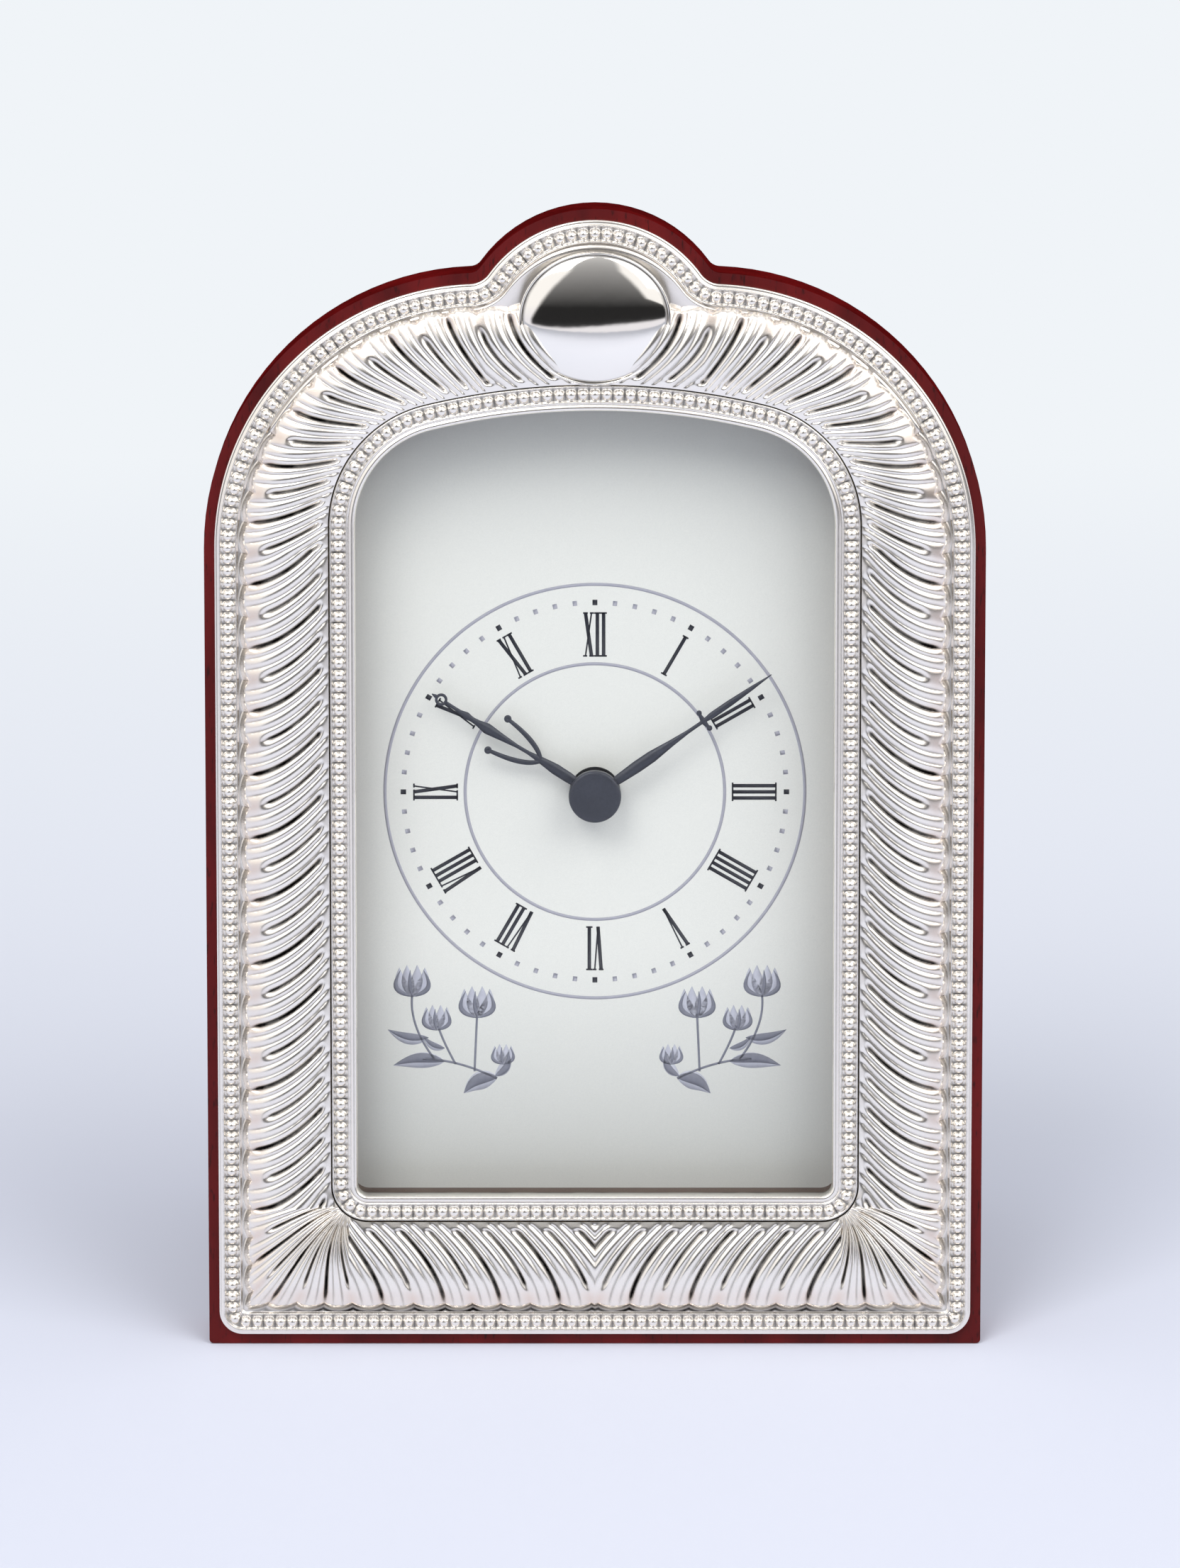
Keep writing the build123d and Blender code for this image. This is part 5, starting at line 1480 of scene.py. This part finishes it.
@dataclass
class Hands:
    """The two stamped hands, each cut from thin steel and painted slate."""

    hour_angle: float = 302.0
    minute_angle: float = 55.2
    hour_height: tuple[float, float] = (-5.5, -5.1)
    minute_height: tuple[float, float] = (-4.4, -4.0)
    hour_ring: tuple[float, float] = (26.6, 0.72)
    # middle radius and half width of each hand's eye
    hour_eye: tuple[float, float] = (2.72, 0.6)
    minute_eye: tuple[float, float] = (1.95, 0.62)
    # distance from the centre and half width at each station
    hour_shank: tuple[tuple[float, float], ...] = (
        (2.6, 0.6),
        (4.6, 0.78),
        (7.0, 0.8),
        (9.5, 0.5),
        (11.5, 0.26),
        (13.5, 0.26),
        (16.0, 0.5),
        (18.6, 0.8),
        (20.4, 0.42),
        (21.2, 0.36),
        (22.2, 0.55),
        (23.3, 0.26),
        (25.7, 0.22),
    )
    # start, bow and end of the right arm, across the hand and along it
    hour_arm: tuple[tuple[float, float], ...] = ((0.1, 9.4), (2.1, 11.2), (2.7, 16.6))
    hour_tip: tuple[tuple[float, float], ...] = ((27.3, 0.2), (27.6, 0.26), (28.2, 0.05))
    minute_leaf: tuple[tuple[float, float], ...] = (
        (2.2, 0.5),
        (4.5, 0.72),
        (7.5, 0.87),
        (10.2, 0.85),
        (13.5, 0.5),
        (16.6, 0.27),
        (18.8, 0.25),
        (19.8, 0.3),
        (20.8, 0.48),
        (24.0, 0.47),
        (28.0, 0.3),
        (31.5, 0.05),
    )

    def blade(self, stations: Sequence[tuple[float, float]], angle: float, sway: float = 0.0) -> Stroke:
        """Draws a blade.

        Args:
            stations: Distances from the centre, and the half width at each.
            angle: The hand's angle, clockwise from twelve in degrees.
            sway: How far the blade swings to each side of its line, as one sine wave.

        Returns:
            The blade.
        """
        reach = np.array([s[0] for s in stations])
        width = np.array([s[1] for s in stations])
        r = np.linspace(reach[0], reach[-1], 60)
        line = np.column_stack((sway * np.sin(2 * math.pi * (r - reach[0]) / (reach[-1] - reach[0])), r))
        return Stroke(turned(line, angle), np.interp(r, reach, width))

    def scroll(self, side: int, angle: float) -> list[Stroke]:
        """Draws a curled arm that leaves the shank, bows outwards and ends in a round knop.

        Args:
            side: 1 for the arm on the right and -1 for the one on the left.
            angle: The hand's angle, clockwise from twelve in degrees.

        Returns:
            The arm and its knop.
        """
        t = np.linspace(0.0, 1.0, 24)[:, None]
        start, bow, end = (np.array(point) * (side, 1.0) for point in self.hour_arm)
        line = (1 - t) ** 2 * start + 2 * t * (1 - t) * bow + t**2 * end
        width = 0.26 + 0.1 * np.sin(math.pi * t[:, 0])
        knop = circle(0.28, 16, tuple(end + np.array([0.05 * side, 0.2])))
        return [Stroke(turned(line, angle), width), Stroke(turned(knop, angle), 0.27, closed=True)]

    def hour(self) -> bpy.types.Object:
        """The serpentine hour hand, with a pair of curled arms, two leaves and a ring near its tip.

        Returns:
            The piece.
        """
        a = self.hour_angle
        ring_place, ring_radius = self.hour_ring
        strokes = [
            self.blade(self.hour_shank, a, 0.1),
            self.blade(self.hour_tip, a),
            Stroke(turned(circle(ring_radius, 24, (0.0, ring_place)), a), 0.2, closed=True),
            Stroke(turned(circle(self.hour_eye[0], 40), 0.0), self.hour_eye[1], closed=True),
        ]
        strokes += self.scroll(1, a) + self.scroll(-1, a)
        return strokes_piece("hour_hand_serpentine", strokes, *self.hour_height, 0.08)

    def minute(self) -> bpy.types.Object:
        """The tapered minute hand: a leaf, a small cross bar and a sword blade.

        Returns:
            The piece.
        """
        a = self.minute_angle
        bar = np.column_stack((np.linspace(-1.3, 1.3, 9), 19.4 + 0.15 * np.linspace(-1, 1, 9) ** 2))
        knobs = [circle(0.2, 14, (x, 19.55)) for x in (-1.35, 1.35)]
        strokes = [
            self.blade(self.minute_leaf, a),
            Stroke(turned(bar, a), 0.3 + 0.1 * np.cos(np.linspace(-3, 3, 9))),
            Stroke(turned(circle(self.minute_eye[0], 36), 0.0), self.minute_eye[1], closed=True),
        ]
        strokes += [Stroke(turned(knob, a), 0.2, closed=True) for knob in knobs]
        return strokes_piece("minute_hand_tapered", strokes, *self.minute_height, 0.08)

    def cap(self) -> bpy.types.Object:
        """The round cap: a profile turned about the centre, with a soft shoulder and a faint dish.

        Returns:
            The piece.
        """
        radii = np.array([0.0, 1.2, 2.4, 3.2, 3.55, 3.72, 3.81, 3.85, 3.85, 3.6])
        heights = np.array([-2.7, -2.69, -2.65, -2.62, -2.64, -2.72, -2.85, -3.05, -3.98, -4.0])
        turn = np.linspace(0.0, 2 * math.pi, 72, endpoint=False)
        x = radii[None, :] * np.cos(turn)[:, None]
        y = radii[None, :] * np.sin(turn)[:, None] + DIAL_HEIGHT
        grid = np.stack((x, y, np.broadcast_to(heights, x.shape)), axis=-1)
        return sheet_piece("hand_cap_round", grid, loop_rows=True)

    def build(self) -> None:
        """Makes the hands and lets them stand for the CAD nodes."""
        dress(self.hour(), SLATE, "hour", "blued_hand", "hour_hand")
        dress(self.minute(), SLATE, "minute", "blued_hand", "minute_hand")
        dress(self.cap(), SLATE, "minute", "blued_hand", "hand_cap")
        LOG.info("hands at %.0f and %.0f degrees", self.hour_angle, self.minute_angle)


@dataclass
class CarriedNodes:
    """The CAD nodes that keep their own shape, each with the finish of the real piece."""

    finishes: dict[str, Any] = field(
        default_factory=lambda: {
            "back_board": MAHOGANY,
            "strut_panel": MAHOGANY,
            "front_former": RESIN,
            "window_glass": GLASS,
            "dial_spacer": SHADED_CARD,
            "dial_plate": DIAL,
            "dial_washer": RUBBER,
            "retaining_ring": RUBBER,
            "movement_case": CASE,
            "movement_cover": CASE,
            "wheel_plate": ACETAL,
            "train_bridge": ACETAL,
            "hour_wheel": BRASS,
            "minute_arbor": BRASS,
            "motion_wheel": ACETAL,
            "set_knob": ACETAL,
            "centre_wheel": ACETAL,
            "third_wheel": ACETAL,
            "second_wheel": ACETAL,
            "intermediate_wheel": ACETAL,
            "rotor": MAGNET,
            "stator": STEEL,
            "coil": WINDING,
            "circuit_board": CIRCUIT,
            "quartz_crystal": STEEL,
            "contact_positive": STEEL,
            "contact_negative": STEEL,
            "battery": WRAP,
            "hinge_leaf_board": BRASS,
            "hinge_leaf_strut": BRASS,
            "hinge_pin": STEEL,
            "board_screws": BRASS,
            "strut_screws": BRASS,
        }
    )

    def build(self) -> None:
        """Gives each node its material."""
        for name, finish in self.finishes.items():
            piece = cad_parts[name]
            piece.data.materials.clear()
            piece.data.materials.append(finish.material())
            LOG.info("%s: %s", name, finish.name)


@dataclass(frozen=True)
class SoftBox:
    """A square soft light that faces the clock."""

    name: str
    place: tuple[float, float, float]
    size: float
    watts: float
    aim: tuple[float, float, float] = (0.0, 0.0, 0.08)

    def build(self) -> None:
        """Hangs the light and turns it to the clock's middle."""
        data = bpy.data.lights.new(self.name, "AREA")
        data.shape, data.size, data.energy = "SQUARE", self.size, self.watts
        lamp = bpy.data.objects.new(self.name, data)
        lamp.location = self.place
        way = Vector(self.aim) - Vector(self.place)
        lamp.rotation_euler = way.to_track_quat("-Z", "Y").to_euler()
        bpy.context.scene.collection.objects.link(lamp)


@dataclass
class Studio:
    """The plain pale floor, the soft light and the camera at the photograph's angle."""

    elevation: float = 19.8
    distance: float = 1.35
    view_height: float = 0.2296
    middle_height: float = 84.25
    # the photograph's middle lies 7 pixels left of the clock's middle and 3 pixels below it
    aim_shift: tuple[float, float] = (-0.00072, -0.0003)
    sensor_mm: float = 36.0
    floor_half: float = 3.0
    mottle_mm: float = 333.0
    floor_colours: tuple[str, str] = ("#e1e5f2", "#e6e8f4")
    horizon_colour: str = "#eef1f7"
    wall_colour: str = "#f0f4f8"
    dark_colours: tuple[str, str] = ("#262627", "#c4c4c6")
    pale_colours: tuple[str, str] = ("#ecebf3", "#fcfbfb")
    lamps: tuple[SoftBox, ...] = (
        SoftBox("key_box", (-0.6, -0.9, 1.5), 0.9, 11.4),
        SoftBox("fill_box", (0.75, -0.6, 1.1), 1.0, 6.9),
    )

    def floor(self) -> None:
        """A flat sheet with a faint mottle, wider than the view."""
        side = np.linspace(-self.floor_half, self.floor_half, 9)
        x, y = np.meshgrid(side, side, indexing="ij")
        points = np.stack((x, y, np.full_like(x, -0.0001)), axis=-1).reshape(-1, 3)
        piece = make_mesh("studio_floor", points, grid_quads(len(side), len(side))[:, ::-1])
        if piece.data.polygons[0].normal.z < 0:
            piece.data.flip_normals()
        material, tree, out = new_tree("paper_backdrop_matt")
        place = put(tree, "NodeTexCoord").outputs["Object"]
        broad = 1 / (self.mottle_mm * MM)
        cloud = put(tree, "NodeTexNoise", {"Vector": place, "Scale": broad, "Detail": 1.0}).outputs[0]
        low, high = self.floor_colours
        colour = put(tree, "NodeMix", {0: cloud, 6: low, 7: high}, data_type="RGBA").outputs[2]
        shader = put(tree, "NodeBsdfPrincipled", {"Base Color": colour, "Roughness": 0.9}).outputs[0]
        # the sheet sweeps up into an evenly lit wall behind the clock, as far as the eye can tell
        far = put(tree, "NodeSeparateXYZ", {0: place}).outputs[1]
        share = put(tree, "NodeMapRange", {0: far, 1: 0.03, 2: 0.4, 3: 0.0, 4: 1.0}).outputs[0]
        rays = put(tree, "NodeLightPath").outputs
        eye = put(tree, "NodeMath", {0: rays["Is Camera Ray"], 1: rays["Is Glossy Ray"]}, operation="ADD")
        both = {0: eye.outputs[0], 1: rays["Is Transmission Ray"]}
        clear = put(tree, "NodeMath", both, operation="ADD", use_clamp=True).outputs[0]
        part = put(tree, "NodeMath", {0: share, 1: clear}, operation="MULTIPLY").outputs[0]
        wall = put(tree, "NodeEmission", {"Color": self.wall_colour, "Strength": 1.0}).outputs[0]
        mixed = put(tree, "NodeMixShader", {0: part, 1: shader, 2: wall})
        tree.links.new(mixed.outputs[0], out.inputs[0])
        piece.data.materials.append(material)

    def dark_end(self, tree: bpy.types.NodeTree, x: Any, y: Any, z: Any) -> Any:
        """The studio's dark front end, a soft-edged patch of directions forwards of the clock.

        It is wide at eye level and narrow high up, with a low shelf on the right and a wavy foot.

        Args:
            tree: The world's node tree.
            x: The socket of a direction's x, to the right.
            y: The socket of its y, away from the eye.
            z: The socket of its z, upwards.

        Returns:
            The socket of how dark that direction is, from 0 to 1.
        """
        aside = put(tree, "NodeMath", {0: x}, operation="ABSOLUTE").outputs[0]
        # the half width is 0.56 at eye level and 0.21 high up
        reach = put(tree, "NodeMapRange", {0: z, 1: 0.03, 2: 0.55, 3: 0.56, 4: 0.21}).outputs[0]
        right = put(tree, "NodeMath", {0: x, 1: 0.0}, operation="GREATER_THAN").outputs[0]
        shelf = put(tree, "NodeMapRange", {0: z, 1: 0.17, 2: 0.25, 3: 0.36, 4: 0.0}).outputs[0]
        reach = put(tree, "NodeMath", {0: shelf, 1: right, 2: reach}, operation="MULTIPLY_ADD").outputs[0]
        over = put(tree, "NodeMath", {0: reach, 1: aside}, operation="SUBTRACT").outputs[0]
        soft_side = {0: over, 1: -0.04, 2: 0.04, 3: 0.0, 4: 1.0}
        share = put(tree, "NodeMapRange", soft_side, interpolation_type="SMOOTHSTEP").outputs[0]
        swing = put(tree, "NodeMath", {0: x, 1: 3.5}, operation="MULTIPLY").outputs[0]
        wave = put(tree, "NodeMath", {0: swing}, operation="SINE").outputs[0]
        edge = put(tree, "NodeMath", {0: wave, 1: -0.025, 2: z}, operation="MULTIPLY_ADD").outputs[0]
        soft_foot = {0: edge, 1: -0.015, 2: 0.015, 3: 0.0, 4: 1.0}
        level = put(tree, "NodeMapRange", soft_foot, interpolation_type="SMOOTHSTEP").outputs[0]
        ahead = put(tree, "NodeMapRange", {0: y, 1: 0.0, 2: -0.1, 3: 0.0, 4: 1.0}).outputs[0]
        for part in (level, ahead):
            share = put(tree, "NodeMath", {0: share, 1: part}, operation="MULTIPLY").outputs[0]
        return share

    def sky(self) -> None:
        """An even pale surround, in which metal also sees the studio's dark front end.

        The dark end is black at eye level and grey high up.
        """
        world = bpy.data.worlds.new("soft_room")
        bpy.context.scene.world = world
        world.use_nodes = True
        tree = world.node_tree
        tree.nodes.clear()
        out = tree.nodes.new("ShaderNodeOutputWorld")
        way = put(tree, "NodeTexCoord").outputs["Generated"]
        x, y, z = put(tree, "NodeSeparateXYZ", {0: way}).outputs
        share = self.dark_end(tree, x, y, z)
        rise = put(tree, "NodeMapRange", {0: z, 1: 0.16, 2: 0.85, 3: 0.0, 4: 1.0}).outputs[0]
        low, top = self.dark_colours
        deep = put(tree, "NodeMix", {0: rise, 6: low, 7: top}, data_type="RGBA").outputs[2]
        high = put(tree, "NodeMapRange", {0: z, 1: 0.02, 2: 0.2, 3: 0.0, 4: 1.0}).outputs[0]
        low, top = self.pale_colours
        pale = put(tree, "NodeMix", {0: high, 6: low, 7: top}, data_type="RGBA").outputs[2]
        seen = put(tree, "NodeMix", {0: share, 6: pale, 7: deep}, data_type="RGBA").outputs[2]
        mirrored = put(tree, "NodeBackground", {"Color": seen, "Strength": 1.0}).outputs[0]
        plain = put(tree, "NodeBackground", {"Color": self.horizon_colour, "Strength": 0.62}).outputs[0]
        behind = put(tree, "NodeBackground", {"Color": self.horizon_colour, "Strength": 1.0}).outputs[0]
        rays = put(tree, "NodeLightPath").outputs
        first = put(tree, "NodeMixShader", {0: rays["Is Glossy Ray"], 1: plain, 2: mirrored}).outputs[0]
        both = put(tree, "NodeMixShader", {0: rays["Is Camera Ray"], 1: first, 2: behind})
        tree.links.new(both.outputs[0], out.inputs[0])

    def camera(self) -> None:
        """The long lens, above the level of the clock by the photograph's angle."""
        data = bpy.data.cameras.new("long_lens")
        data.sensor_fit, data.sensor_height, data.sensor_width = "AUTO", self.sensor_mm, self.sensor_mm
        data.lens = self.sensor_mm * self.distance / self.view_height
        data.clip_start, data.clip_end = 0.05, 20.0
        camera = bpy.data.objects.new("long_lens", data)
        middle = Vector(tuple(flat_to_room(np.array([0.0, self.middle_height, 0.0]))))
        rise = math.radians(self.elevation)
        back = Vector((0.0, -math.cos(rise), math.sin(rise)))
        over = Vector((0.0, math.sin(rise), math.cos(rise)))
        aim = middle + Vector((self.aim_shift[0], 0.0, 0.0)) + over * self.aim_shift[1]
        camera.location = aim + back * self.distance
        camera.rotation_euler = (-back).to_track_quat("-Z", "Y").to_euler()
        bpy.context.scene.collection.objects.link(camera)
        bpy.context.scene.camera = camera

    def build(self) -> None:
        """Sets the stage."""
        bpy.context.scene.view_settings.view_transform = "Standard"
        self.floor()
        self.sky()
        for lamp in self.lamps:
            lamp.build()
        self.camera()


def main() -> None:
    """Builds the clock's pieces in order, then the stage."""
    logging.basicConfig(level=logging.INFO, format="%(message)s")
    for maker in (CarriedNodes(), SilverFront(), PrintedDial(), Hands(), Studio()):
        maker.build()
        LOG.info("%s built", type(maker).__name__)
    bpy.context.view_layer.update()


if __name__ == "__main__":
    main()
